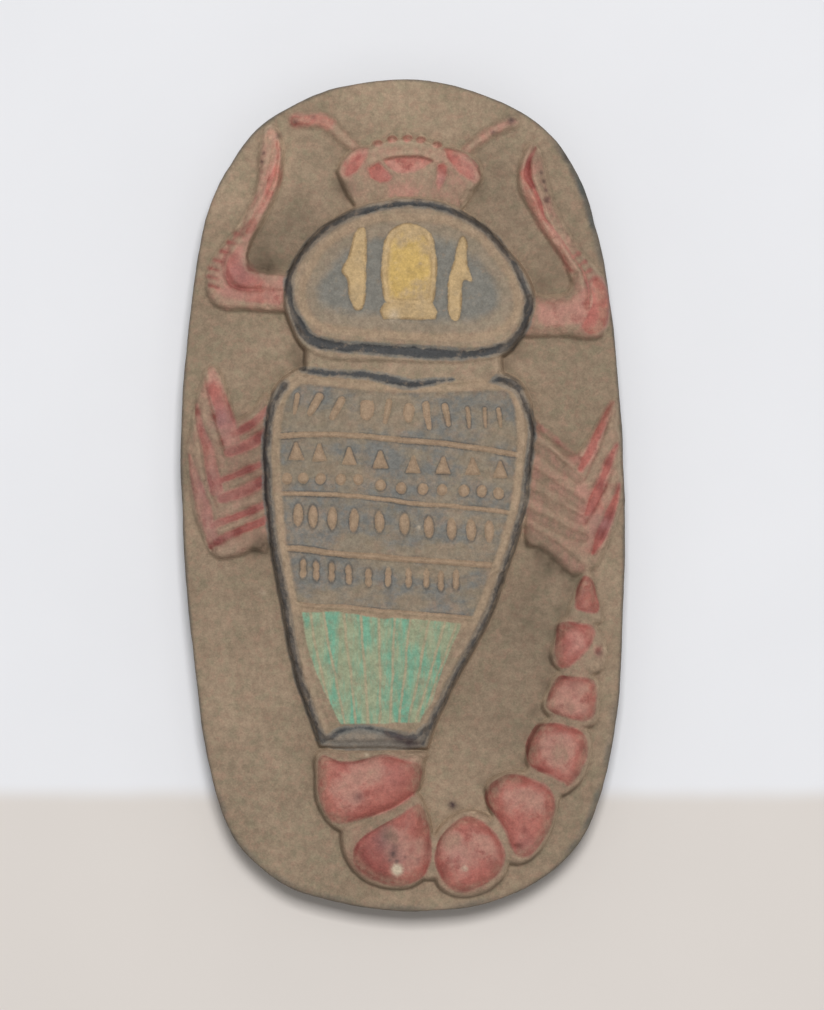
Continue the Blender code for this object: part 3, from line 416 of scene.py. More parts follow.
# Each sunk red band of the legs: its path, and its widths in millimetres. The first nine are left
LEG_BANDS = (
    (((-43.0, 14.9), (-42.2, 13.2), (-41.0, 11.2), (-39.7, 8.8), (-38.6, 6.6)), (2.4, 3.8, 4.6, 5.2, 5.2)),
    (((-46.2, 10.8), (-45.5, 8.0), (-43.9, 5.6), (-42.8, 3.2), (-41.7, 0.6)), (1.0, 2.1, 3.2, 3.7, 4.0)),
    (((-47.8, 4.7), (-46.7, 2.4), (-45.3, 0.0), (-43.9, -2.4), (-42.6, -5.4)), (1.0, 2.5, 3.5, 3.9, 3.6)),
    (((-38.1, 7.3), (-34.3, 8.5), (-30.2, 10.3)), (2.4, 2.4, 2.4)),
    (((-39.0, 5.2), (-35.2, 6.0), (-30.2, 7.6)), (3.2, 3.4, 3.4)),
    (((-40.6, 1.7), (-35.9, 2.8), (-30.2, 4.2)), (1.9, 1.9, 2.1)),
    (((-40.6, -0.4), (-35.9, 0.5), (-30.2, 2.0)), (2.8, 3.4, 3.2)),
    (((-42.6, -3.8), (-36.5, -2.3), (-30.2, -0.9)), (2.6, 2.1, 2.4)),
    (((-42.8, -6.0), (-38.3, -4.7), (-30.0, -2.7)), (2.4, 2.1, 2.6)),
    (((47.1, 11.2), (45.3, 9.2), (43.5, 7.2), (41.9, 5.2), (39.8, 3.2)), (1.0, 2.0, 2.7, 3.0, 1.8)),
    (((47.8, 6.0), (46.4, 4.2), (44.8, 2.0), (43.3, 0.0), (41.5, -2.2)), (1.5, 2.4, 2.6, 2.9, 1.0)),
    (((48.4, 1.4), (47.5, -0.6), (46.2, -2.6), (44.6, -4.6), (42.8, -7.0)), (1.0, 2.1, 2.6, 2.6, 0.9)),
    (((28.9, 8.5), (33.0, 7.0), (36.5, 5.4), (39.2, 4.2)), (2.4, 2.6, 2.6, 2.6)),
    (((28.5, 6.1), (33.0, 4.6), (37.0, 2.9), (39.2, 2.0)), (2.6, 2.8, 2.8, 2.6)),
    (((28.5, 3.0), (33.0, 1.4), (37.9, -0.2), (40.6, -1.3)), (2.6, 2.8, 2.8, 2.6)),
    (((28.0, 0.4), (33.0, -1.0), (37.4, -2.3), (40.6, -2.9)), (2.4, 2.4, 2.4, 2.2)),
    (((27.6, -2.0), (33.0, -3.5), (37.4, -4.6), (40.8, -5.0)), (2.6, 2.6, 2.6, 2.4)),
    (((27.6, -4.2), (31.8, -5.8), (35.7, -7.3), (39.2, -8.8)), (2.8, 3.6, 4.2, 3.6)),
)
LEG_CREASES = (
    ((-44.4, 14.0), (-43.9, 12.4), (-42.8, 10.0), (-41.7, 8.0), (-40.8, 6.4), (-39.7, 4.7)),
    ((-46.6, 11.4), (-46.4, 8.4), (-44.8, 6.0), (-43.7, 3.2), (-42.6, 0.4), (-41.5, -1.4)),
    ((-48.0, 4.8), (-47.5, 2.4), (-46.6, -0.6), (-45.3, -3.6), (-43.9, -5.6), (-42.6, -6.8)),
    ((30.5, 7.8), (33.0, 6.6), (35.7, 5.0), (37.4, 3.8)),
    ((32.1, 5.8), (33.6, 5.0), (36.5, 3.5)),
    ((46.9, 10.0), (45.5, 8.0), (44.2, 6.0), (42.4, 4.0), (40.8, 2.0)),
    ((47.5, 3.2), (46.0, 1.6), (44.2, -0.4), (42.4, -2.2), (40.8, -3.4)),
    ((31.4, -0.6), (33.4, -1.8), (37.4, -3.5)),
    ((48.2, 0.6), (47.1, -2.0), (45.5, -4.4), (43.7, -6.6), (42.6, -8.4)),
)
TAIL_OUTLINES = (
    ((-18.6, -30.6), (-20.0, -33.7), (-19.5, -36.6), (-16.8, -39.2), (-12.8, -40.4), (-8.3, -39.3),
     (-1.2, -37.7), (3.9, -35.1), (4.9, -32.0), (4.6, -30.6), (-7.4, -30.3)),
    ((-13.7, -39.4), (-12.8, -43.5), (-8.3, -46.3), (-1.8, -47.2), (3.8, -46.6), (7.1, -44.0),
     (6.6, -40.2), (3.3, -35.6), (-3.1, -36.9), (-9.6, -38.6)),
    ((13.9, -37.6), (8.1, -39.7), (6.2, -43.5), (8.1, -47.1), (13.9, -48.2), (20.2, -47.0),
     (23.9, -44.2), (22.8, -41.1), (19.4, -38.3)),
    ((18.6, -35.0), (23.1, -33.2), (28.5, -33.4), (34.5, -35.2), (34.7, -38.0), (32.3, -41.6),
     (28.0, -43.9), (23.4, -43.9), (21.2, -40.4)),
    ((27.6, -32.3), (28.5, -29.4), (31.8, -27.0), (36.5, -26.9), (41.7, -28.4), (41.7, -32.0),
     (38.8, -34.9), (34.6, -36.1), (30.5, -34.2)),
    ((31.6, -25.7), (32.3, -23.4), (34.3, -21.3), (38.6, -21.0), (43.7, -22.3), (44.1, -24.8),
     (42.8, -27.6), (37.2, -28.0)),
    ((33.2, -20.0), (34.3, -16.9), (35.7, -14.8), (41.5, -14.8), (45.1, -17.6), (44.8, -20.9),
     (39.2, -22.0)),
)
STINGER_OUTLINE = (
    (41.3, -8.8), (38.8, -11.6), (36.8, -15.2), (41.0, -15.6), (45.0, -15.0), (43.7, -11.9),
)
TAIL_SPINE = (
    (-6.6, -28.4), (-8.1, -34.8), (-2.5, -42.0), (15.0, -43.2), (26.7, -38.4), (34.5, -31.2), (37.9, -24.3),
    (39.2, -18.0), (41.3, -12.6),
)
TAIL_SPINE_WIDTHS = (22.0, 17.0, 15.0, 11.0, 12.0, 11.0, 9.5, 8.0, 5.0)
TAIL_DOMES = (
    ((-18.2, -31.3), (-13.9, -31.8), (-9.5, -31.7), (-5.2, -31.1), (-1.4, -31.3), (3.0, -32.0),
     (4.3, -32.7), (4.1, -34.2), (2.7, -35.7), (-1.4, -37.3), (-6.3, -38.4), (-10.6, -38.9),
     (-15.0, -39.2), (-17.4, -38.2), (-18.9, -35.7), (-19.2, -33.4)),
    ((3.5, -37.0), (-0.6, -38.3), (-5.2, -39.6), (-9.3, -41.2), (-10.8, -43.2), (-9.0, -45.2),
     (-4.6, -46.4), (-0.3, -46.8), (4.1, -46.0), (6.4, -43.8), (6.4, -40.9), (5.2, -38.6)),
    ((13.8, -38.4), (9.7, -39.9), (7.7, -42.1), (7.4, -44.4), (8.9, -46.3), (11.7, -47.5),
     (16.0, -47.2), (20.3, -45.8), (22.8, -43.8), (22.0, -41.5), (19.3, -39.5), (16.5, -38.5)),
    ((23.5, -33.5), (20.8, -34.3), (19.1, -35.3), (18.8, -36.6), (20.7, -38.2), (22.7, -40.1),
     (24.0, -41.9), (25.5, -43.1), (27.6, -43.3), (30.4, -42.2), (33.0, -40.0), (34.3, -37.9),
     (34.0, -36.3), (32.4, -35.0), (29.9, -34.2), (26.3, -33.6)),
    ((30.4, -27.5), (27.9, -29.4), (27.7, -31.1), (28.7, -32.5), (31.9, -33.5), (35.5, -34.4),
     (37.1, -34.8), (39.6, -33.0), (41.2, -31.1), (41.3, -29.4), (39.6, -28.1), (36.5, -27.5),
     (33.5, -27.3)),
    ((35.0, -21.7), (38.6, -21.8), (42.0, -22.1), (43.4, -22.9), (43.6, -24.6), (43.0, -26.2),
     (41.2, -26.9), (37.1, -26.7), (34.0, -26.0), (32.2, -25.3), (32.7, -23.8), (33.8, -22.4)),
    ((35.0, -15.4), (38.1, -15.3), (41.7, -15.5), (43.0, -16.1), (42.7, -17.2), (41.2, -18.5),
     (39.6, -19.6), (37.1, -20.6), (34.9, -20.5), (34.2, -19.2), (34.6, -17.3)),
)
STINGER_DOME = (
    (40.9, -9.8), (42.6, -10.4), (43.6, -11.9), (44.2, -13.3), (43.5, -14.2), (41.2, -14.1),
    (39.1, -13.7), (38.9, -12.7), (39.1, -11.4), (39.9, -10.3),
)
OVAL_MIDDLE = (1.4, 27.6)
RED_DOMES = TAIL_DOMES + (STINGER_DOME,)
CLAW_DOTS = LEFT_CLAW_DOTS + RIGHT_CLAW_DOTS
CLEAR_DOTS = LEFT_CLAW_DOTS[1:3] + RIGHT_CLAW_DOTS[1:4]

# Spots on the face: across and along in percent, reach in millimetres, and strength
# Dirt on the ground, and painted shadows under the leg panels' lower edges, beside the neck and along the
# tail's left side
DIRT_AND_SHADOW_SPOTS = (
    (-32.0, 28.0, 5.5, 0.55), (-30.2, 27.4, 2.6, 0.7), (-34.0, 31.0, 4.0, 0.35),
    (34.0, 26.6, 5.0, 0.3), (31.6, 25.2, 2.4, 0.5), (33.5, 29.5, 4.0, 0.3),
    (-12.6, 36.6, 2.6, 0.6), (-14.4, 37.4, 2.4, 0.4), (17.0, 36.0, 2.4, 0.35),
    (-31.6, -5.6, 2.4, 0.9), (-33.0, -6.6, 2.0, 0.6),
    (28.2, -5.8, 1.6, 0.9), (30.5, -7.0, 1.8, 0.9), (33.4, -8.2, 1.8, 0.85),
    (36.0, -9.2, 1.6, 0.85), (38.4, -10.0, 1.5, 0.8), (31.8, -9.0, 4.2, 0.5),
    (37.0, -11.4, 2.0, 0.55), (35.4, -13.6, 2.0, 0.55), (34.0, -16.4, 1.9, 0.5),
    (32.8, -19.6, 1.9, 0.5), (31.6, -22.6, 2.0, 0.45), (29.6, -25.6, 1.8, 0.4),
    (27.4, -28.6, 1.6, 0.3), (-24.4, 17.0, 2.2, 0.6), (-23.2, 15.8, 1.4, 0.7),
    (23.4, 15.6, 1.6, 0.6), (26.0, 17.4, 2.2, 0.5), (-36.0, 9.0, 2.0, 0.3),
    (36.5, 6.2, 2.4, 0.3), (21.0, -27.0, 7.0, 0.12), (20.0, -34.0, 3.0, 0.25),
    (12.0, -37.0, 2.6, 0.25),
)
RIM_SPOTS = (
    (36.6, 40.6, 5.0, 0.75), (40.0, 36.8, 5.0, 0.95), (42.8, 32.8, 4.5, 0.9), (44.8, 29.0, 3.6, 0.6),
    (40.4, -38.8, 3.6, 0.8), (42.6, -36.0, 2.6, 0.8), (37.6, -42.0, 2.6, 0.7), (45.2, -31.0, 4.2, 0.6),
    (47.0, -26.0, 3.6, 0.4), (-41.2, -37.4, 3.6, 0.5), (-36.0, -43.4, 4.0, 0.55),
    (-28.0, -46.8, 5.0, 0.5), (-16.0, -49.0, 6.0, 0.5), (0.0, -50.0, 7.0, 0.55),
    (16.0, -49.4, 6.0, 0.5), (-34.0, 43.0, 4.0, 0.15), (-40.0, 38.4, 3.0, 0.2),
)
PALE_SPOTS = (
    (-1.2, -44.8, 1.2, 1.9), (3.2, -3.8, 0.5, 0.9), (13.8, -44.7, 0.7, 0.8),
    (-31.6, -11.6, 0.5, 0.6), (-2.2, 21.4, 1.4, 0.5), (-8.0, -31.0, 0.5, 0.5),
)
DARK_SPOTS = (
    (11.0, -37.1, 1.0, 1.0), (-2.0, -42.9, 0.9, 0.8), (-1.2, -43.8, 0.6, 0.8), (-10.1, -36.1, 1.4, 0.5),
    (-4.0, -40.6, 2.2, 0.35), (43.7, -18.8, 0.9, 0.5), (24.4, 44.8, 1.1, 0.75), (20.4, 43.4, 0.7, 0.5),
    (-24.0, 44.6, 0.9, 0.5), (-20.0, 45.2, 0.6, 0.4), (32.0, 35.3, 1.0, 0.6), (-27.9, 43.0, 1.0, 0.5),
    (26.0, -42.0, 1.0, 0.3), (36.9, 40.4, 1.0, 0.4), (-1.0, -28.9, 1.5, 0.7), (1.4, -29.4, 1.5, 0.8),
    (-3.4, -28.6, 1.0, 0.5), (3.4, -29.6, 1.1, 0.5), (-1.6, -42.0, 0.7, 0.5), (-2.8, -43.6, 0.5, 0.5),
    (0.6, -43.2, 0.5, 0.4), (3.6, -43.6, 0.6, 0.4),
)
RED_SPOTS = (
    (39.6, 4.6, 2.2, 0.3), (40.2, 0.6, 2.2, 0.28), (40.6, -2.6, 2.2, 0.32), (31.0, 8.0, 1.8, 0.3),
    (34.6, 6.6, 1.8, 0.3), (41.4, -6.6, 1.8, 0.2), (37.0, -8.2, 2.0, 0.15),
    (-7.8, 36.6, 4.0, -0.15), (0.7, 36.2, 4.2, 0.26), (-14.0, 38.0, 2.0, 0.1),
    (45.2, 24.0, 4.5, 0.25), (44.4, 20.6, 4.0, 0.2), (28.2, 38.6, 2.2, 0.35), (30.0, 34.6, 3.0, 0.1),
    (-28.4, 38.0, 3.0, 0.25), (-36.8, 27.4, 4.0, 0.2), (-43.2, 12.6, 2.6, 0.3),
    (-40.6, 9.0, 4.0, 0.1), (43.0, -1.0, 3.4, 0.3), (44.4, -5.0, 3.0, 0.3),
    (2.0, -32.6, 3.4, 0.2), (-7.0, -33.4, 4.0, -0.2), (-8.0, -44.0, 3.6, 0.35),
    (-3.4, -40.2, 2.6, -0.35), (4.6, -41.4, 2.0, -0.2), (16.6, -46.2, 3.6, 0.25),
    (10.4, -41.0, 2.6, -0.35), (9.0, -44.6, 2.4, -0.2), (20.8, -35.8, 2.4, 0.25),
    (28.4, -42.4, 2.6, 0.2), (32.6, -38.0, 2.6, -0.15), (35.0, -31.0, 3.0, -0.3),
    (29.2, -31.0, 2.0, 0.25), (40.0, -31.6, 2.0, 0.25), (36.6, -26.0, 2.6, -0.25),
    (36.4, -17.4, 3.4, 0.25), (41.6, -12.0, 3.0, 0.15), (43.6, -18.6, 1.1, 0.55), (32.6, -25.0, 2.2, -0.2),
)
DEEP_SPOTS = (
    (-8.2, -43.8, 4.2, 0.75), (-6.0, -45.6, 2.6, 0.45), (4.6, -38.6, 2.0, 0.5), (6.0, -41.6, 1.6, 0.5),
    (-2.6, -45.9, 3.4, 0.5), (3.4, -32.8, 1.6, 0.5), (1.4, -34.0, 2.6, 0.3), (-12.6, -38.4, 1.6, 0.4),
    (14.0, -47.2, 2.4, 0.4), (20.6, -44.0, 2.2, 0.35), (9.0, -45.4, 1.4, 0.4), (20.4, -34.8, 1.7, 0.95),
    (22.6, -33.8, 1.2, 0.7), (25.4, -42.4, 2.0, 0.3), (32.4, -40.0, 1.6, 0.35), (29.0, -30.4, 1.8, 0.6),
    (30.0, -28.0, 1.3, 0.6), (38.6, -33.4, 1.5, 0.6), (40.6, -30.4, 1.6, 0.45), (30.6, -33.0, 1.3, 0.35),
    (35.4, -22.0, 1.3, 0.6), (38.0, -23.0, 1.6, 0.3), (42.6, -25.8, 1.4, 0.4), (34.0, -26.0, 1.0, 0.4),
    (37.4, -15.6, 1.8, 0.3), (36.4, -18.0, 2.2, 0.1), (41.6, -12.4, 2.6, 0.1), (43.2, -13.8, 1.0, 0.3),
    (-43.9, 12.8, 1.2, 0.6), (-42.6, 9.4, 1.2, 0.6), (-41.2, 6.2, 1.2, 0.6), (-46.0, 10.0, 1.2, 0.7),
    (-35.0, 8.2, 2.2, 0.5), (-32.0, 7.2, 2.6, 0.5), (-35.8, 5.6, 2.4, 0.3), (-35.0, 2.9, 2.0, 0.55),
    (-32.0, 1.6, 2.2, 0.55), (-34.6, 0.4, 2.0, 0.4), (-34.0, -1.8, 1.8, 0.6), (-37.0, -4.6, 1.6, 0.6),
    (-40.4, -5.6, 1.8, 0.6), (-42.6, -6.6, 1.8, 0.4), (-45.0, -1.4, 2.4, 0.25), (45.0, 8.8, 1.6, 0.3),
    (46.2, 4.0, 1.7, 0.6), (44.4, 1.2, 2.2, 0.5), (42.4, -1.6, 1.6, 0.3), (46.4, -2.2, 1.8, 0.6),
    (44.6, -4.6, 2.0, 0.6), (43.2, -6.6, 1.4, 0.5), (48.0, 1.0, 1.2, 0.6), (28.6, 39.4, 1.4, 0.5),
    (46.2, 21.6, 1.6, 0.2), (-36.6, 25.2, 2.4, 0.3), (-38.2, 28.2, 2.0, 0.25),
)
PURPLE_SPOTS = (
    (-42.6, 7.6, 4.0, 0.45), (-44.0, -0.6, 5.0, 0.5), (-42.0, -6.4, 4.6, 0.5), (44.6, -3.6, 3.6, 0.4),
    (-36.6, 26.6, 4.5, 0.6), (-40.4, 9.4, 4.0, 0.7), (-44.0, 2.0, 3.6, 0.45), (-44.4, -4.0, 3.6, 0.5),
    (-40.0, -6.4, 3.0, 0.5), (-38.0, 5.0, 4.0, 0.25), (-37.0, -1.0, 4.0, 0.3), (-4.0, -41.4, 3.0, 0.6),
    (-1.0, -43.4, 2.4, 0.5), (28.0, -42.0, 3.0, 0.35), (38.0, -17.6, 3.0, 0.2), (45.6, -3.4, 2.6, 0.4),
    (8.8, 37.6, 1.8, 0.5), (-3.0, 38.6, 2.0, 0.25), (41.2, 25.0, 1.6, 0.4), (32.0, -29.0, 3.4, 0.2),
    (12.0, -43.0, 3.0, 0.25), (-2.4, -33.6, 4.0, 0.15),
)
TONE_SPOTS = (
    (38.4, -17.4, 3.0, 0.16), (41.6, -12.4, 2.6, 0.14), (43.5, 23.4, 4.5, 0.12),
    (33.5, 31.5, 3.5, 0.10), (38.0, 2.0, 6.0, 0.06),
    (-30.0, 44.0, 12.0, 0.08), (0.0, 47.0, 8.0, 0.05), (30.0, -18.0, 10.0, -0.08),
    (24.0, -31.0, 12.0, -0.07), (-29.0, 31.0, 9.0, -0.1), (28.0, 42.0, 7.0, -0.05),
    (-40.0, -8.0, 9.0, -0.07),
    (0.0, 47.0, 20.0, 0.20), (-38.0, 36.0, 12.0, 0.12), (-24.0, 33.0, 9.0, -0.22),
    (24.0, 33.0, 9.0, -0.16), (21.0, 38.0, 7.0, -0.12), (20.0, -24.0, 16.0, -0.16),
    (28.0, -14.0, 12.0, -0.22), (-34.0, -36.0, 18.0, 0.02), (-36.0, -16.0, 12.0, -0.06),
    (0.0, 20.5, 9.0, -0.05), (48.0, 10.0, 9.0, -0.08), (-39.0, 3.0, 12.0, -0.12),
    (0.0, 14.0, 12.0, 0.1), (41.0, -12.0, 4.0, -0.15), (0.0, -42.0, 7.0, -0.1),
    (-3.0, -41.5, 5.0, -0.08), (15.0, -43.0, 5.0, -0.08), (34.0, 20.5, 4.0, 0.08),
)


def loop_points(points):
    """Turns shares of the face into millimetres from its middle."""
    return np.array(points, float) * (0.01 * WIDTH, 0.01 * LENGTH)


def spline(points, steps, closed):
    """A smooth curve through the points, as a Catmull-Rom spline. Extra columns are carried along."""
    points = np.asarray(points, float)
    if closed:
        padded = np.vstack([points[-1:], points, points[:2]])
    else:
        padded = np.vstack([2 * points[:1] - points[1:2], points, 2 * points[-1:] - points[-2:-1]])
    before, start, end, after = padded[:-3], padded[1:-2], padded[2:-1], padded[3:]
    curve = []
    for share in np.arange(steps) / steps:
        square, cube = share * share, share**3
        curve.append(0.5 * (
            2 * start
            + (end - before) * share
            + (2 * before - 5 * start + 4 * end - after) * square
            + (3 * start - before - 3 * end + after) * cube
        ))
    curve = np.stack(curve, axis=1).reshape(-1, points.shape[1])
    return curve if closed else np.vstack([curve, points[-1:]])


def smooth_loop(points, steps=5):
    return spline(loop_points(points), steps, True)


def smooth_path(points, steps=4):
    return spline(loop_points(points), steps, False)


def path_with_widths(points, widths, steps=4, closed=False):
    """Points and widths of a band, smoothed together."""
    table = np.column_stack([loop_points(points), widths])
    curve = spline(table, steps, closed)
    if closed:
        curve = np.vstack([curve, curve[:1]])
    return curve[:, :2], np.maximum(curve[:, 2], 0.1)


def segment_distances(x, y, start, end):
    """Distance to one segment, and how far along it the nearest point is."""
    step_x, step_y = end - start
    along = ((x - start[0]) * step_x + (y - start[1]) * step_y) / max(step_x**2 + step_y**2, 1e-9)
    along = np.clip(along, 0.0, 1.0)
    return np.hypot(x - start[0] - along * step_x, y - start[1] - along * step_y), along


def nearby(x, y, points, reach):
    low, high = points.min(0) - reach, points.max(0) + reach
    return (x > low[0]) & (x < high[0]) & (y > low[1]) & (y < high[1])


def loop_depth(x, y, loop, reach=REACH):
    """How deep each place lies inside a closed loop: negative outside, and never below -reach."""
    depth = np.full(x.shape, -reach)
    near = nearby(x, y, loop, reach)
    near_x, near_y = x[near], y[near]
    closest = np.full(near_x.shape, np.inf)
    inside = np.zeros(near_x.shape, bool)
    for start, end in zip(loop, np.roll(loop, -1, axis=0)):
        closest = np.minimum(closest, segment_distances(near_x, near_y, start, end)[0])
        rise = end[1] - start[1]
        if rise:
            spans = (start[1] > near_y) != (end[1] > near_y)
            inside ^= spans & (near_x < (end[0] - start[0]) * (near_y - start[1]) / rise + start[0])
    depth[near] = np.maximum(np.where(inside, closest, -closest), -reach)
    return depth


def band_depth(x, y, path, widths, reach=REACH):
    """How deep each place lies inside a band along a path, whose width varies along it."""
    depth = np.full(x.shape, -reach)
    near = nearby(x, y, path, reach)
    near_x, near_y = x[near], y[near]
    deepest = np.full(near_x.shape, -reach)
    half = 0.5 * np.broadcast_to(widths, (len(path),))
    for i in range(len(path) - 1):
        away, along = segment_distances(near_x, near_y, path[i], path[i + 1])
        deepest = np.maximum(deepest, half[i] + along * (half[i + 1] - half[i]) - away)
    depth[near] = deepest
    return depth


def patch_depth(x, y, outline, reach=REACH, steps=5):
    """Depth inside the smooth loop through an outline's points."""
    return loop_depth(x, y, smooth_loop(outline, steps), reach)


def line_depth(x, y, points, widths, reach=REACH, closed=False):
    """Depth inside a smooth band along the points, with one width or one for each point."""
    if np.ndim(widths):
        return band_depth(x, y, *path_with_widths(points, widths, closed=closed), reach)
    return band_depth(x, y, smooth_path(points), widths, reach)


def oval_depth(x, y, centre, reach_x, reach_y):
    """Rough depth inside an upright oval."""
    share = np.hypot((x - centre[0]) / reach_x, (y - centre[1]) / reach_y)
    return (1 - share) * min(reach_x, reach_y)


def rough(x, y, size, seed):
    """Smooth random heights between -1 and 1, with features of the given size."""
    cells = 96
    lattice = np.random.default_rng(seed).uniform(-1, 1, (cells, cells))
    u, v = x / size + 31.7, y / size + 57.3
    column, row = np.floor(u).astype(int), np.floor(v).astype(int)
    across, along = u - column, v - row
    across = across * across * (3 - 2 * across)
    along = along * along * (3 - 2 * along)
    left, right = column % cells, (column + 1) % cells
    low, high = row % cells, (row + 1) % cells
    near_row = lattice[low, left] * (1 - across) + lattice[low, right] * across
    far_row = lattice[high, left] * (1 - across) + lattice[high, right] * across
    return near_row * (1 - along) + far_row * along


def layered(x, y, size, seed, layers=3):
    return sum(rough(x, y, size / 2**k, seed + k) / 2**k for k in range(layers))


def hand_wobble(x, y):
    """Shifts every place a little, so that no carved line is quite straight or even."""
    size, reach = WOBBLE
    fine_size, fine_reach = QUIVER
    return (
        x + reach * rough(x, y, size, 11) + fine_reach * rough(x, y, fine_size, 12),
        y + reach * rough(x, y, size, 13) + fine_reach * rough(x, y, fine_size, 14),
    )


def wall_share(depth, wall):
    insets, shares = zip(*wall)
    return np.interp(depth, insets, shares)


def eased(depth, low, high):
    """0 below low, 1 above high, and a smooth rise between them."""
    share = np.clip((depth - low) / (high - low), 0.0, 1.0)
    return share * share * (3 - 2 * share)


def blurred(grid, spread):
    """The grid smoothed by a Gaussian of the given spread, in cells."""
    reach = int(math.ceil(2.5 * spread))
    weights = np.exp(-0.5 * (np.arange(-reach, reach + 1) / spread) ** 2)
    weights /= weights.sum()
    for axis in (0, 1):
        padded = np.concatenate(
            [grid.take([0] * reach, axis), grid, grid.take([-1] * reach, axis)], axis
        )
        size = grid.shape[axis]
        grid = sum(
            weight * padded.take(range(k, k + size), axis) for k, weight in enumerate(weights)
        )
    return grid


def abdomen_loop():
    top, right, left = (smooth_path(part) for part in (ABDOMEN_TOP, ABDOMEN_RIGHT, ABDOMEN_LEFT))
    return np.vstack([top[:-1], right, left[:-1]])


def head_loop():
    return np.vstack([smooth_path(HEAD_CROWN), loop_points(HEAD_NECK)])


def slab_loop():
    """The plaque's outline, stretched so that it spans the model's box exactly."""
    loop = smooth_loop(SLAB_OUTLINE, 8)
    low, high = loop.min(0), loop.max(0)
    return ((loop - low) / (high - low) - 0.5) * (WIDTH, LENGTH)


def mark_depth(x, y):
    """Depth inside the nearest raised mark of the abdomen."""
    depth = np.full(x.shape, -REACH)
    for across, along, lean, width, length, clear in STROKES:
        centre = loop_points((across, along))
        reach = 0.5 * np.array([lean, length - width])
        path = np.array([centre - reach, centre, centre + reach])
        stroke = band_depth(x, y, path, (0.7 * width, width, width), MARK_REACH)
        depth = np.maximum(depth, stroke - 0.35 * (1 - clear))
    for centre in loop_points(TRIANGLES):
        depth = np.maximum(depth, loop_depth(x, y, centre + np.array(TRIANGLE), MARK_REACH))
    for centres, reach in ((DISCS, DISC_REACH), (DROPS, DROP_REACH)):
        for centre in loop_points(centres):
            depth = np.maximum(depth, oval_depth(x, y, centre, *reach))
    for centre in loop_points(PEGS):
        pinch = PEG_WAIST * np.exp(-(((y - centre[1]) / PEG_WAIST_REACH) ** 2))
        depth = np.maximum(depth, oval_depth(x, y, centre, *PEG_REACH) - pinch)
    for line, width in zip(REGISTER_LINES, REGISTER_LINE_WIDTHS):
        depth = np.maximum(depth, line_depth(x, y, line, width, MARK_REACH))
    return depth


def rib_depth(x, y):
    """Depth inside the nearest thin rib of the green fan."""
    depth = np.full(x.shape, -REACH)
    tops = np.linspace(*RIB_TOP_ALONG, len(RIB_TOPS))
    for top, top_along, bottom in zip(RIB_TOPS, tops, RIB_BOTTOMS):
        path = loop_points(((top, top_along), (bottom, RIB_BOTTOM_ALONG)))
        depth = np.maximum(depth, band_depth(x, y, path, RIB_WIDTH, MARK_REACH))
    return depth


def sign_depth(x, y):
    """Depth inside the yellow signs of the thorax."""
    depths = [patch_depth(x, y, sign) for sign in (CARTOUCHE, LEFT_SIGN, RIGHT_SIGN)]
    depths.append(loop_depth(x, y, loop_points(CARTOUCHE_FOOT)))
    return np.maximum.reduce(depths)


def head_heights(x, y):
    depth = loop_depth(x, y, head_loop()) + 0.35
    height = HEAD_RISE * wall_share(depth, STEEP_WALL)
    brow = line_depth(x, y, BROW, 2.0)
    height += BROW_RISE * eased(brow, -0.7, 0.6) * (depth > 0)
    for lobe in (LEFT_LOBE, RIGHT_LOBE):
        height -= LOBE_CUT * eased(patch_depth(x, y, lobe), -0.1, 1.0)
    mouth = patch_depth(x, y, MOUTH)
    fade = np.clip(1 - (0.01 * LENGTH * 40.6 - y) / 4.6, 0, 1)
    height -= MOUTH_CUT * eased(mouth, -0.2, 0.4) * fade
    for eye in (LEFT_EYE, RIGHT_EYE):
        height -= EYE_CUT * eased(loop_depth(x, y, loop_points(eye)), -0.3, 0.5)
    ledge = band_depth(x, y, smooth_path(STUDS) - (0.0, 0.9), 2.6)
    height = np.maximum(height, HEAD_RISE * eased(ledge, -0.4, 0.4))
    for centre in loop_points(STUDS):
        stud = oval_depth(x, y, centre, *STUD_REACH)
        height = np.maximum(height, STUD_RISE * eased(stud, -0.35, 0.8))
    left = line_depth(x, y, LEFT_ANTENNA, LEFT_ANTENNA_WIDTHS)
    right = line_depth(x, y, RIGHT_ANTENNA, RIGHT_ANTENNA_WIDTHS)
    return np.maximum(height, ANTENNA_RISE * eased(np.maximum(left, right), -0.9, 1.2))


def tooth_notch_depth(x, y):
    """Depth inside the short notches between the teeth of the claws."""
    depth = np.full(x.shape, -REACH)
    for centres, step in ((LEFT_TEETH, LEFT_NOTCH_STEP), (RIGHT_TEETH, RIGHT_NOTCH_STEP)):
        for centre in loop_points(centres):
            path = np.array([centre, centre + step])
            depth = np.maximum(depth, band_depth(x, y, path, NOTCH_WIDTHS, MARK_REACH))
    return depth


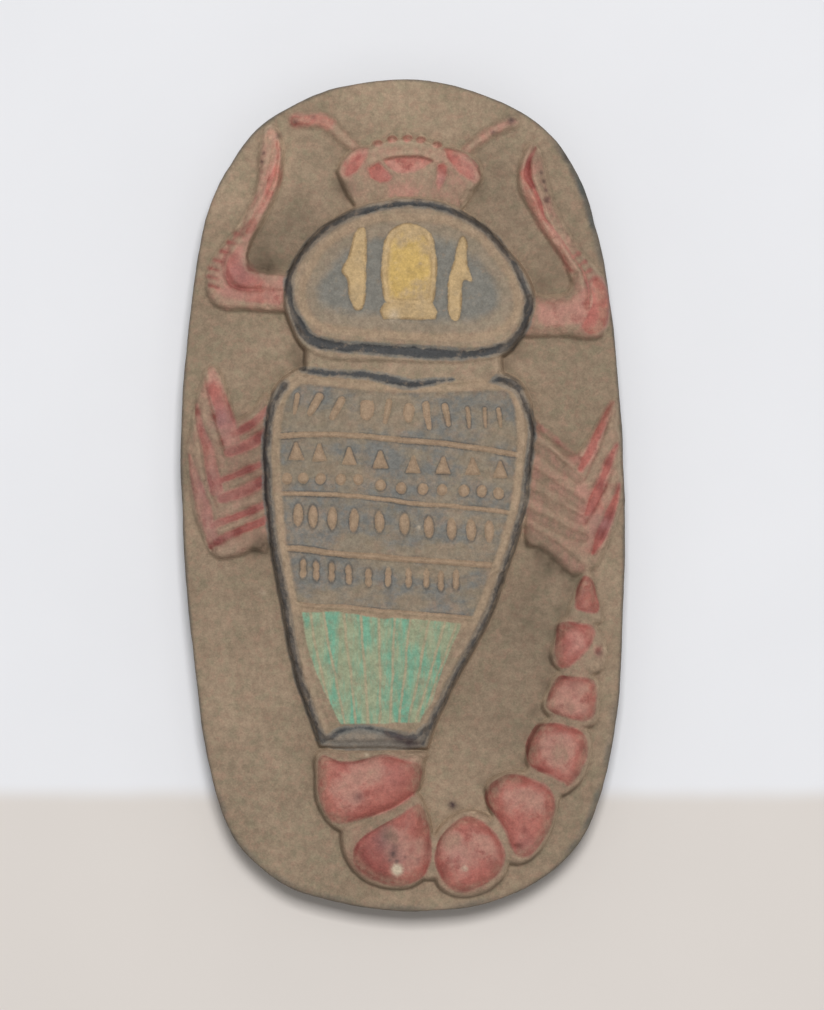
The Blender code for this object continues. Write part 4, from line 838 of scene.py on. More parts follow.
def claw_heights(x, y):
    left = patch_depth(x, y, LEFT_CLAW_OUTLINE)
    right = patch_depth(x, y, RIGHT_CLAW_OUTLINE)
    height = CLAW_RISE * wall_share(np.maximum(left, right), SOFT_WALL)
    arm = line_depth(x, y, LEFT_ARM, LEFT_ARM_WIDTHS)
    height = np.maximum(height, ARM_RISE * eased(arm, -0.6, 1.2) * (left > -0.5))
    height -= RECESS_CUT * eased(patch_depth(x, y, LEFT_RECESS), -0.5, 1.0)
    height += FOREARM_RISE * eased(right, 1.0, 3.2)
    strip = line_depth(x, y, RIGHT_DOT_STRIP, 3.0)
    height -= DOT_STRIP_CUT * eased(strip, -0.8, 0.5) * (right > 0)
    groove = line_depth(x, y, LEFT_CLAW_GROOVE, 0.9)
    groove = np.maximum(groove, line_depth(x, y, LEFT_CLAW_TIP_GROOVE, 0.8))
    height -= CLAW_GROOVE_CUT * eased(groove, -0.3, 0.4) * (left > 0)
    crease = line_depth(x, y, RIGHT_CREASE, RIGHT_CREASE_WIDTHS)
    height -= CLAW_CREASE_CUT * eased(crease, -0.4, 0.5) * (right > 0)
    height -= NOTCH_CUT * eased(tooth_notch_depth(x, y), -0.6, 0.6) * (np.maximum(left, right) > 0)
    for centre in loop_points(CLAW_DOTS):
        height -= DOT_CUT * eased(oval_depth(x, y, centre, *DOT_REACH), -0.1, 0.5)
    big_dot = oval_depth(x, y, loop_points(RIGHT_BIG_DOT), *BIG_DOT_REACH)
    return height - BIG_DOT_CUT * eased(big_dot, -0.1, 0.6)


def thorax_heights(x, y):
    depth = patch_depth(x, y, THORAX_OUTLINE, 2 * REACH)
    height = THORAX_RISE * wall_share(depth, THORAX_WALL)
    line = line_depth(x, y, THORAX_LINE, THORAX_LINE_WIDTHS, closed=True)
    height -= THORAX_LINE_CUT * eased(line, -0.5, 0.9)
    field = patch_depth(x, y, THORAX_FIELD, 2 * REACH)
    outer_cut, middle_cut = THORAX_FIELD_CUTS
    height -= outer_cut * eased(field, -0.8, 1.6) + middle_cut * eased(field, 2.5, 7.0)
    signs = sign_depth(x, y)
    height += SIGN_RISE * eased(signs, -0.35, 0.35)
    dabs = 0.22 * rough(x, y, 1.3, 101) + 0.12 * rough(x, y, 0.7, 102)
    height += dabs * eased(signs, 0.3, 1.0)
    oval = oval_depth(x, y, loop_points(OVAL_MIDDLE), *OVAL_LINE_REACH)
    return height - OVAL_LINE_CUT * eased(oval, -0.5, 0.0) * eased(-oval, -0.9, -0.3)


def abdomen_heights(x, y):
    depth = loop_depth(x, y, abdomen_loop(), 2 * REACH)
    lean = np.interp(x, (-12.0, 8.0), (0.0, 1.0))
    depth_out = np.where(depth < 0, depth / (1 + 0.8 * lean), depth)
    height = ABDOMEN_RISE * wall_share(depth_out, ABDOMEN_WALL)
    height += MARK_RISE * eased(mark_depth(x, y), -0.3, 0.4) * eased(depth, 3.0, 4.5)
    height += RIB_RISE * eased(rib_depth(x, y), -0.25, 0.3) * eased(depth, 4.0, 5.5)
    neck = loop_depth(x, y, loop_points(NECK_OUTLINE))
    return np.maximum(height, NECK_RISE * wall_share(neck, STEEP_WALL))


def panel_depth(x, y):
    left, right = (patch_depth(x, y, panel, steps=3) for panel in (LEFT_PANEL, RIGHT_PANEL))
    return np.maximum(left, right)


def leg_band_depth(x, y, bands):
    return np.maximum.reduce([line_depth(x, y, path, widths) for path, widths in bands])


def leg_heights(x, y):
    """The legs are one raised panel with sunk bands, so ridges stand between them."""
    height = PANEL_RISE * wall_share(panel_depth(x, y), SOFT_WALL)
    height -= LEG_BAND_CUT * eased(leg_band_depth(x, y, LEG_BANDS[:12]), -0.8, 0.7)
    height -= THIGH_CUT * thigh_grooves(x, y)
    for path in LEG_CREASES:
        height -= LEG_CREASE_CUT * eased(line_depth(x, y, path, 0.7), -0.4, 0.3)
    return height


def tail_rises():
    last = len(TAIL_OUTLINES) - 1
    return [TAIL_BASE_RISE + (TAIL_TIP_RISE - TAIL_BASE_RISE) * i / last for i in range(last + 1)]


def tail_heights(x, y):
    """Red domes on a worn body, which shows as a ledge round each of them."""
    spine = line_depth(x, y, TAIL_SPINE, TAIL_SPINE_WIDTHS)
    along = np.interp(y, (-0.40 * LENGTH, -0.14 * LENGTH), (TAIL_BASE_RISE, TAIL_TIP_RISE))
    height = 0.62 * along * wall_share(spine, SOFT_WALL)
    outlines = TAIL_OUTLINES + (STINGER_OUTLINE,)
    for outline, dome, rise in zip(outlines, RED_DOMES, tail_rises() + [STINGER_RISE]):
        body = patch_depth(x, y, outline, 8.0)
        height = np.maximum(height, rise * wall_share(body, TAIL_WALL))
        rim = patch_depth(x, y, dome)
        height = height - DOME_RIM_CUT * eased(rim, -0.6, 0.0) * (1 - eased(rim, 0.1, 0.8))
    return height


def face_heights(x, y):
    """Heights over the ground of the face before wear."""
    x, y = hand_wobble(x, y)
    parts = (head_heights, claw_heights, thorax_heights, abdomen_heights, leg_heights, tail_heights)
    return np.maximum.reduce([part(x, y) for part in parts])


def red_areas():
    """Every area that held red paint: its depth, how much paint is left, and how soft its edge is."""
    loops = (
        (LEFT_LOBE, 0.74, 1.0), (RIGHT_LOBE, 0.8, 1.0), (MOUTH, 0.74, 0.7),
        (LEFT_CLAW_OUTLINE, 0.42, 1.0), (LEFT_ELBOW, 0.66, 1.0), (LEFT_RECESS, 0.78, 0.9),
        (RIGHT_CLAW_OUTLINE, 0.36, 1.2), (RIGHT_ELBOW, 0.95, 1.4), (RIGHT_FOREARM, 0.6, 1.6),
        (LEFT_PANEL, 0.28, 1.2), (RIGHT_PANEL, 0.29, 1.6),
    )
    areas = [(patch_depth, (loop,), share, soft) for loop, share, soft in loops]
    areas += [(loop_depth, (loop_points(eye),), 0.74, 0.8) for eye in (LEFT_EYE, RIGHT_EYE)]
    areas += [(loop_depth, (head_loop(),), 0.3, 1.0)]
    areas += [(patch_depth, (dome,), 0.86, 0.7) for dome in RED_DOMES]
    areas += [(patch_depth, (outline,), 0.2, 0.7) for outline in TAIL_OUTLINES]
    lines = (
        (LEFT_ARM_RED, LEFT_ARM_RED_WIDTHS, 0.82, 1.0), (RIGHT_ARM_RED, 3.2, 0.66, 1.2),
        (RIGHT_CREASE, RIGHT_CREASE_WIDTHS, 0.75, 0.7), (LEFT_ANTENNA, LEFT_ANTENNA_WIDTHS, 0.3, 0.7),
        (RIGHT_ANTENNA, RIGHT_ANTENNA_WIDTHS, 0.3, 0.7), (LEFT_ANTENNA[2:], 3.6, 0.78, 1.2),
        (RIGHT_ANTENNA[1:], 2.6, 0.62, 1.2),
    )
    areas += [(line_depth, (path, widths), share, soft) for path, widths, share, soft in lines]
    for i, band in enumerate(LEG_BANDS):
        left, blade = i < 9, i % 9 < 3
        share = (0.64 if blade else 0.72) if left else (0.86 if blade else 0.32)
        areas.append((line_depth, band, share, 0.7 if left else 1.0))
    areas += [(oval_depth, (stud + (0.0, 0.6), 1.4, 1.0), 0.9, 0.5) for stud in loop_points(STUDS)]
    return areas


def redness(x, y):
    """How much red paint is left, from 0 to 1; the domes' middles get less, a painted highlight."""
    left = 0.66 * eased(tooth_notch_depth(x, y), -0.7, 0.7)
    for depth, values, share, soft in red_areas():
        left = np.maximum(left, share * eased(depth(x, y, *values), -soft, soft))
    # The domes' middles keep less red, so their crowns turn paler: a painted highlight
    for dome in RED_DOMES:
        left -= 0.16 * eased(patch_depth(x, y, dome), 1.2, 4.0)
    left = np.where(left > 0, np.clip(left + spot_sum(x, y, RED_SPOTS) * (left > 0.15), 0, 1), 0)
    body = np.maximum(patch_depth(x, y, THORAX_OUTLINE), loop_depth(x, y, abdomen_loop()))
    return left * eased(-body, -0.2, 0.3)


def deep_red_and_shade(x, y):
    """Where the red is dark: deeper paint, and painted shade in grooves, along upper edges of forms and
    round dome rims.
    """
    dark = np.zeros(x.shape)
    # Dark lines under the upper edges of the lobes and the mouth and in the creases: darker paint and
    # painted shade
    bands = [(LEFT_LOBE_LINE, 0.8, 0.5), (RIGHT_LOBE_LINE, 0.9, 0.65), (MOUTH[:5], 0.7, 0.55)]
    bands += [(path, 0.5, 0.45) for path in LEG_CREASES[:3] + LEG_CREASES[5:7]]
    bands += [(path, 0.6 * max(widths), 0.4) for path, widths in LEG_BANDS[3:9]]
    bands += [(RIGHT_CREASE[:4], 1.2, 0.75), (RIGHT_CREASE[3:], 0.6, 0.4), (LEFT_CLAW_GROOVE, 0.7, 0.35)]
    for path, width, share in bands:
        dark = np.maximum(dark, share * eased(line_depth(x, y, path, width), -0.35, 0.3))
    # Each dome gets a dark rim, darkest on its upper left, and a soft dark band inside it: painted shade
    for dome in RED_DOMES:
        loop = smooth_loop(dome)
        depth = loop_depth(x, y, loop)
        middle = loop.mean(0)
        turn = np.arctan2(y - middle[1], x - middle[0])
        side = 0.45 + 0.4 * np.cos(turn - math.radians(135)) + 0.25 * np.cos(2 * turn + 1.0)
        rim = eased(depth, -0.5, 0.1) * (1 - eased(depth, 0.2, 1.1))
        dark = np.maximum(dark, np.clip(side, 0.15, 0.85) * rim)
        dark = np.maximum(dark, 0.3 * eased(depth, -0.3, 0.2) * (1 - eased(depth, 0.6, 3.2)))
    dark = np.maximum(dark, 0.55 * eased(tooth_notch_depth(x, y), -0.4, 0.7))
    for centre in loop_points(STUDS):
        dark = np.maximum(dark, 0.5 * eased(oval_depth(x, y, centre + (0.0, 0.9), 1.0, 0.5), -0.2, 0.2))
    return dark + 1.25 * spot_sum(x, y, DEEP_SPOTS)


def spot_sum(x, y, spots):
    """Soft spots added together."""
    total = np.zeros(x.shape)
    for across, along, reach, amount in spots:
        centre = loop_points((across, along))
        away = ((x - centre[0]) ** 2 + (y - centre[1]) ** 2) / reach**2
        total += amount * np.exp(-np.minimum(away, 30.0))
    return total


def spot_share(x, y, spots):
    return np.clip(spot_sum(x, y, spots), 0, 1)


def black_depth(x, y):
    """Depth inside the painted dark outlines."""
    depths = [
        line_depth(x, y, THORAX_LINE, THORAX_LINE_WIDTHS, closed=True),
        line_depth(x, y, ABDOMEN_TOP_LINE, ABDOMEN_TOP_LINE_WIDTHS),
        line_depth(x, y, ABDOMEN_RIGHT_LINE, 1.8),
        line_depth(x, y, ABDOMEN_LEFT_LINE, 2.4),
        line_depth(x, y, FOOT_LINE, FOOT_LINE_WIDTHS),
        loop_depth(x, y, loop_points(CORNER_PATCH)),
    ]
    return np.maximum.reduce(depths)


def arm_share(x, y):
    """Where the arms of the claws catch the light."""
    arms = np.maximum(line_depth(x, y, LEFT_ARM, 7.0), line_depth(x, y, RIGHT_ARM_RED, 6.0))
    return eased(arms, -1.5, 2.5)


def thigh_grooves(x, y):
    """The sunk bands of the right legs next to the body, which are cut in and darker."""
    return eased(leg_band_depth(x, y, LEG_BANDS[12:]), -0.5, 0.7)


def paint_values(x, y):
    """What the paint does at each place: depths inside areas in millimetres, and shares from 0 to 1."""
    edge = loop_depth(x, y, slab_loop())
    x, y = hand_wobble(x, y)
    field = loop_depth(x, y, abdomen_loop(), 2 * REACH) - 4.3
    last_line = loop_points(REGISTER_LINES[-1])
    field = np.minimum(field, y - np.interp(x, *last_line.T))
    dots = tuple((*dot, 0.5, 0.6 if dot in CLEAR_DOTS else 0.14) for dot in CLAW_DOTS)
    return {
        "redness": redness(x, y),
        "deep_red_and_shade": deep_red_and_shade(x, y),
        "black": black_depth(x, y),
        "yellow": sign_depth(x, y),
        "line": patch_depth(x, y, CARTOUCHE) - 1.6,
        "green": loop_depth(x, y, loop_points(GREEN_FAN)),
        "mark": np.maximum(mark_depth(x, y), rib_depth(x, y) - 0.12),
        "field": field,
        "band": loop_depth(x, y, loop_points(FOOT_BAND)),
        "thorax": patch_depth(x, y, THORAX_FIELD, 2 * REACH),
        "grime_and_shade": spot_share(x, y, DIRT_AND_SHADOW_SPOTS),
        "pale": spot_share(x, y, PALE_SPOTS),
        "dark": spot_share(x, y, DARK_SPOTS + dots),
        "purple": spot_share(x, y, PURPLE_SPOTS),
        "tone": spot_sum(x, y, TONE_SPOTS) + 0.14 * arm_share(x, y) - 0.16 * thigh_grooves(x, y),
        "edge": edge,
        "rim": spot_share(x, y, RIM_SPOTS),
    }


def worn(heights, x, y):
    """Adds tool marks, chips on the crests and a rough skin to the carving."""
    crest = np.clip(heights - blurred(heights, CREST_BLUR), 0, 1)
    chips = np.clip(layered(x, y, CHIP_SIZE, 31) - CHIP_LEVEL, 0, 1)
    heights = heights - np.minimum(CHIP_DEPTH * chips * crest * CHIP_GAIN, DEEPEST_CHIP)
    waves, ripples, skin = (
        depth * layered(x, y, size, seed, layers)
        for (size, depth), seed, layers in ((WAVES, 41, 3), (RIPPLES, 51, 3), (SKIN, 61, 2))
    )
    heights += waves + ripples
    heights += skin
    pits = np.clip(rough(x, y, PIT_SIZE, 71) - PIT_LEVEL, 0, 1)
    return heights - PIT_DEPTH * pits


def edge_drop(depth):
    """How far the face falls towards the rounded edge of the slab."""
    inner = np.clip(1 - depth / EDGE_ROUND, 0, 1)
    return EDGE_ROUND * (1 - np.sqrt(1 - inner**2))


def cut_cells(x, y, depth, level):
    """The grid cells inside the level, with cells on it cut along it.

    Gives the points, the faces and the loop of points round the cut.
    """
    inside = depth > level
    number = np.full(x.shape, -1)
    number[inside] = np.arange(inside.sum())
    points = [np.column_stack([x[inside], y[inside]])]
    count = int(inside.sum())
    corner_sum = (
        inside[:-1, :-1].astype(int) + inside[:-1, 1:] + inside[1:, 1:] + inside[1:, :-1]
    )
    row, column = np.argwhere(corner_sum == 4).T
    faces = np.column_stack([
        number[row, column], number[row, column + 1], number[row + 1, column + 1], number[row + 1, column],
    ]).tolist()
    crossings, cut_points, following = {}, [], {}

    def crossing(a, b):
        key = (a, b) if a < b else (b, a)
        if key not in crossings:
            share = (level - depth[a]) / (depth[b] - depth[a])
            crossings[key] = count + len(cut_points)
            cut_points.append((x[a] + share * (x[b] - x[a]), y[a] + share * (y[b] - y[a])))
        return crossings[key]

    for row, column in np.argwhere((corner_sum > 0) & (corner_sum < 4)).tolist():
        corners = [(row, column), (row, column + 1), (row + 1, column + 1), (row + 1, column)]
        face, leaving, entering = [], None, None
        for here, there in zip(corners, corners[1:] + corners[:1]):
            if inside[here]:
                face.append(int(number[here]))
            if inside[here] != inside[there]:
                cut = crossing(here, there)
                face.append(cut)
                if inside[here]:
                    leaving = cut
                else:
                    entering = cut
        faces.append(face)
        following[leaving] = entering
    points.append(np.array(cut_points))
    first = next(iter(following))
    loop = [first]
    while following[loop[-1]] != first:
        loop.append(following[loop[-1]])
    return np.vstack(points), faces, loop


def side_rings(outline):
    """Rings of the side and back, from the cut edge of the face down to the middle of the back."""
    before, after = np.roll(outline, 1, axis=0), np.roll(outline, -1, axis=0)
    along = after - before
    along /= np.hypot(*along.T)[:, None]
    outwards = np.column_stack([-along[:, 1], along[:, 0]])
    length = np.cumsum(np.hypot(*(after - outline).T))
    rings = []
    for inset, height in SIDE_STEPS:
        level = np.full(length.shape, height)
        dents = 0.25 + 0.25 * layered(length, level, 9.0, 81)
        dents += 0.06 * layered(length, level, 2.0, 91)
        dents = np.clip(dents, 0.0, 1.0) * (1 - abs(height / SLAB_THICKNESS - 0.5))
        place = outline + outwards * (EDGE_CUT - inset - dents)[:, None]
        rings.append(np.column_stack([place, np.full(len(place), height)]))
    return rings


def face_grid():
    across, along = (np.arange(-0.5 * size - 1, 0.5 * size + 1, GRID_STEP) for size in (WIDTH, LENGTH))
    return np.meshgrid(across, along)


def plaque_mesh(carved, x, y):
    """The whole plaque as one closed mesh, in metres, from the carved heights of its face."""
    depth = loop_depth(x, y, slab_loop(), 3.0)
    heights = SLAB_THICKNESS + worn(carved, x, y) - edge_drop(depth)
    points, faces, rim = cut_cells(x, y, depth, EDGE_CUT)
    z = sample(heights, x, y, points)
    top = np.column_stack([points, z])
    outline = points[rim]
    if signed_area(outline) > 0:
        rim, outline = rim[::-1], outline[::-1]
    rings = side_rings(outline)
    vertices = [top, *rings, np.array([[0.0, 0.0, 0.0]])]
    size = len(rim)
    upper = np.array(rim)
    for i in range(len(rings)):
        lower = len(points) + i * size + np.arange(size)
        faces += np.column_stack([upper, np.roll(upper, -1), np.roll(lower, -1), lower]).tolist()
        upper = lower
    middle = len(points) + len(rings) * size
    faces += [[int(a), int(b), middle] for a, b in zip(upper, np.roll(upper, -1))]
    mesh = bpy.data.meshes.new("carved plaque")
    mesh.from_pydata((np.vstack(vertices) * MM).tolist(), [], faces)
    return mesh


def signed_area(loop):
    following = np.roll(loop, -1, axis=0)
    return 0.5 * float(np.sum(loop[:, 0] * following[:, 1] - loop[:, 1] * following[:, 0]))


def sample(grid, x, y, points):
    """Values of a grid at scattered points, by straight lines between its samples."""
    column = (points[:, 0] - x[0, 0]) / GRID_STEP
    row = (points[:, 1] - y[0, 0]) / GRID_STEP
    left = np.clip(np.floor(column).astype(int), 0, grid.shape[1] - 2)
    low = np.clip(np.floor(row).astype(int), 0, grid.shape[0] - 2)
    across, along = column - left, row - low
    near_row = grid[low, left] * (1 - across) + grid[low, left + 1] * across
    far_row = grid[low + 1, left] * (1 - across) + grid[low + 1, left + 1] * across
    return near_row * (1 - along) + far_row * along


def thinned(mesh):
    """The same form with fewer triangles where it is flat."""
    rough_piece = bpy.data.objects.new("fine plaque", mesh)
    bpy.context.scene.collection.objects.link(rough_piece)
    modifier = rough_piece.modifiers.new("Fewer faces", "DECIMATE")
    triangles = sum(len(face.vertices) - 2 for face in mesh.polygons)
    modifier.ratio = MOST_TRIANGLES / triangles
    graph = bpy.context.evaluated_depsgraph_get()
    result = bpy.data.meshes.new_from_object(rough_piece.evaluated_get(graph))
    bpy.data.objects.remove(rough_piece, do_unlink=True)
    result.name = "carved plaque"
    return result


def vertex_places(mesh):
    places = np.empty(3 * len(mesh.vertices))
    mesh.vertices.foreach_get("co", places)
    return places.reshape(-1, 3) / MM


def add_values(mesh, name, values):
    attribute = mesh.attributes.new(name, "FLOAT", "POINT")
    attribute.data.foreach_set("value", np.asarray(values, np.float32))


DEPTH_VALUES = ("black", "yellow", "line", "green", "mark", "field", "thorax", "band")


def add_paint_values(mesh, carved, grid_x, grid_y):
    """Stores the paint, and where the stone is sunk, proud or in the shade of a wall."""
    x, y, z = vertex_places(mesh).T
    on_face = z > SLAB_THICKNESS - 3.0
    for name, values in paint_values(x, y).items():
        off_face = -REACH if name in DEPTH_VALUES else 0.0
        add_values(mesh, name, np.where(on_face, values, off_face))
    places = np.column_stack([x, y])
    for name, grid in relief_values(carved).items():
        add_values(mesh, name, np.where(on_face, 1.0, 0.0) * sample(grid, grid_x, grid_y, places))


def relief_values(carved):
    """How sunk each place lies, the shade at the foot of walls, and the walls that catch the light."""
    fine = blurred(carved, FINE_BLUR)
    slope_y, slope_x = np.gradient(fine, GRID_STEP)
    shaded = np.clip(0.85 * slope_y + 0.45 * slope_x, 0.0, 1.5) / 1.5
    foot = np.clip(fine - carved, 0.0, 0.8) / 0.8
    sharp_y, sharp_x = np.gradient(carved, GRID_STEP)
    steep = np.clip(np.hypot(sharp_x, sharp_y) - 0.9, 0.0, 1.6) / 1.6
    return {
        "hollow": blurred(carved, BROAD_BLUR) - carved,
        "foot": foot * shaded,
        "wall": steep * (1 - 0.9 * np.clip(1.5 * shaded, 0.0, 1.0)),
    }


class Value:
    """A number or colour that varies over a surface. Python's operators add its Math nodes."""

    def __init__(self, material, socket):
        self.material = material
        self.socket = socket

    def math(self, operation, *values):
        return self.material.math(operation, self, *values)

    def __add__(self, other):
        return self.math("ADD", other)

    def __radd__(self, other):
        return self.math("ADD", other)

    def __sub__(self, other):
        return self.math("SUBTRACT", other)

    def __rsub__(self, other):
        return self.material.math("SUBTRACT", other, self)

    def __mul__(self, other):
        return self.math("MULTIPLY", other)

    def __rmul__(self, other):
        return self.math("MULTIPLY", other)

    def clamped(self):
        return self.math("MAXIMUM", 0.0).math("MINIMUM", 1.0)

    def at_most(self, other):
        return self.math("MINIMUM", other)

    def at_least(self, other):
        return self.math("MAXIMUM", other)

    def eased(self, low, high):
        """0 below low, 1 above high, and a smooth rise between them."""
        return self.material.node(
            "ShaderNodeMapRange",
            {"interpolation_type": "SMOOTHSTEP"},
            {"Value": self, "From Min": low, "From Max": high, "To Min": 0.0, "To Max": 1.0},
            "Result",
        )


class Finish:
    """Builds one material's nodes."""

    def __init__(self, name):
        self.material = bpy.data.materials.new(name)
        self.material.use_nodes = True
        self.tree = self.material.node_tree
        self.shader = self.tree.nodes["Principled BSDF"]
        self.place = self.node("ShaderNodeTexCoord", {}, {}, "Object")

    def node(self, kind, settings, inputs, output):
        """Adds a node with its settings and the values or links of its sockets."""
        made = self.tree.nodes.new(kind)
        for name, setting in settings.items():
            setattr(made, name, setting)
        for name, value in inputs.items():
            self.feed(made.inputs[name], value)
        return Value(self, made.outputs[output])

    def feed(self, socket, value):
        if isinstance(value, Value):
            self.tree.links.new(value.socket, socket)
        elif isinstance(value, tuple) and len(value) == 3 and socket.type == "RGBA":
            socket.default_value = (*value, 1.0)
        else:
            socket.default_value = value

    def math(self, operation, *values):
        return self.node("ShaderNodeMath", {"operation": operation}, dict(enumerate(values)), 0)

    def painted(self, name):
        """A value stored on the mesh."""
        return self.node("ShaderNodeAttribute", {"attribute_name": name}, {}, "Fac")

    def noise(self, size, detail=3.0, roughness=0.55, stretch=None):
        """Noise between 0 and 1 with features of the given size in millimetres."""
        place = self.place
        if stretch:
            place = self.node(
                "ShaderNodeVectorMath", {"operation": "MULTIPLY"}, {0: place, 1: stretch}, "Vector"
            )
        inputs = {"Vector": place, "Scale": 1000.0 / size, "Detail": detail, "Roughness": roughness}
        return self.node("ShaderNodeTexNoise", {}, inputs, 0)

    def mix(self, share, below, above):
        """The colour above laid over the colour below by the share."""
        return self.node(
            "ShaderNodeMix", {"data_type": "RGBA"}, {0: share, 6: below, 7: above}, 2
        )

    def tinted(self, colour, share):
        """The colour made lighter or darker by a factor."""
        return self.node(
            "ShaderNodeVectorMath", {"operation": "SCALE"}, {0: colour, "Scale": share}, "Vector"
        )


# Colours of the stone, its paint and the sheet it lies on
STONE_LIGHT = (0.315, 0.232, 0.160)
STONE_MID = (0.255, 0.190, 0.130)
STONE_DARK = (0.20, 0.142, 0.094)
STONE_GREEN = (0.21, 0.195, 0.125)
STONE_ROSE = (0.33, 0.205, 0.145)
STONE_WORN = (0.40, 0.292, 0.20)
# Dark of dirt and of painted shade
GRIME_AND_SHADE = (0.065, 0.046, 0.03)
RED = (0.372, 0.118, 0.092)
RED_BROWN = (0.37, 0.195, 0.14)
# Deep red of darker paint and of painted shade
RED_DEEP_AND_SHADE = (0.175, 0.036, 0.03)
RED_DARK = (0.05, 0.03, 0.032)
PURPLE = (0.265, 0.128, 0.122)
BLACK = (0.036, 0.038, 0.041)
SLATE = (0.155, 0.152, 0.138)
RIM_DARK = (0.09, 0.094, 0.086)
FIELD = (0.235, 0.195, 0.145)
FIELD_BLUE = (0.158, 0.162, 0.154)
# Dark ring round the marks: darker paint and painted shade
FIELD_LINE_AND_SHADE = (0.085, 0.075, 0.065)
THORAX_GREY = (0.26, 0.215, 0.16)
THORAX_BLUE = (0.18, 0.178, 0.16)
GREEN = (0.165, 0.35, 0.24)
GREEN_FADED = (0.31, 0.31, 0.195)
RIB = (0.40, 0.335, 0.215)
YELLOW = (0.53, 0.36, 0.125)
YELLOW_FADED = (0.49, 0.345, 0.18)
MARK = (0.335, 0.228, 0.148)
PALE = (0.56, 0.455, 0.335)
BORDER = (0.37, 0.262, 0.172)
FOOT_GREY = (0.175, 0.158, 0.136)
SIGN_LINE = (0.27, 0.175, 0.085)
# Lighter colour of lit walls: painted light with some dust
WALL_DUST_AND_LIGHT = (0.56, 0.415, 0.285)
PINK = (0.425, 0.195, 0.152)
SHEET_NEAR = (0.70, 0.655, 0.615)
SHEET_FAR = (0.80, 0.805, 0.83)

# Sizes of the shared noises, in millimetres
BROAD_SIZE = 30.0
CLOUD_SIZE = 9.0
PATCH_SIZE = 3.0
FLECK_SIZE = 1.0
GRAIN_SIZE = 0.5
SHEET_CLOUD_SIZE = 60.0

# The sheet in metres: its reach, its gap under the stone, and where it turns to its far colour
SHEET_REACH = 2.5
SHEET_GAP = 0.0002
SHEET_TURN = (-0.083, -0.0765)


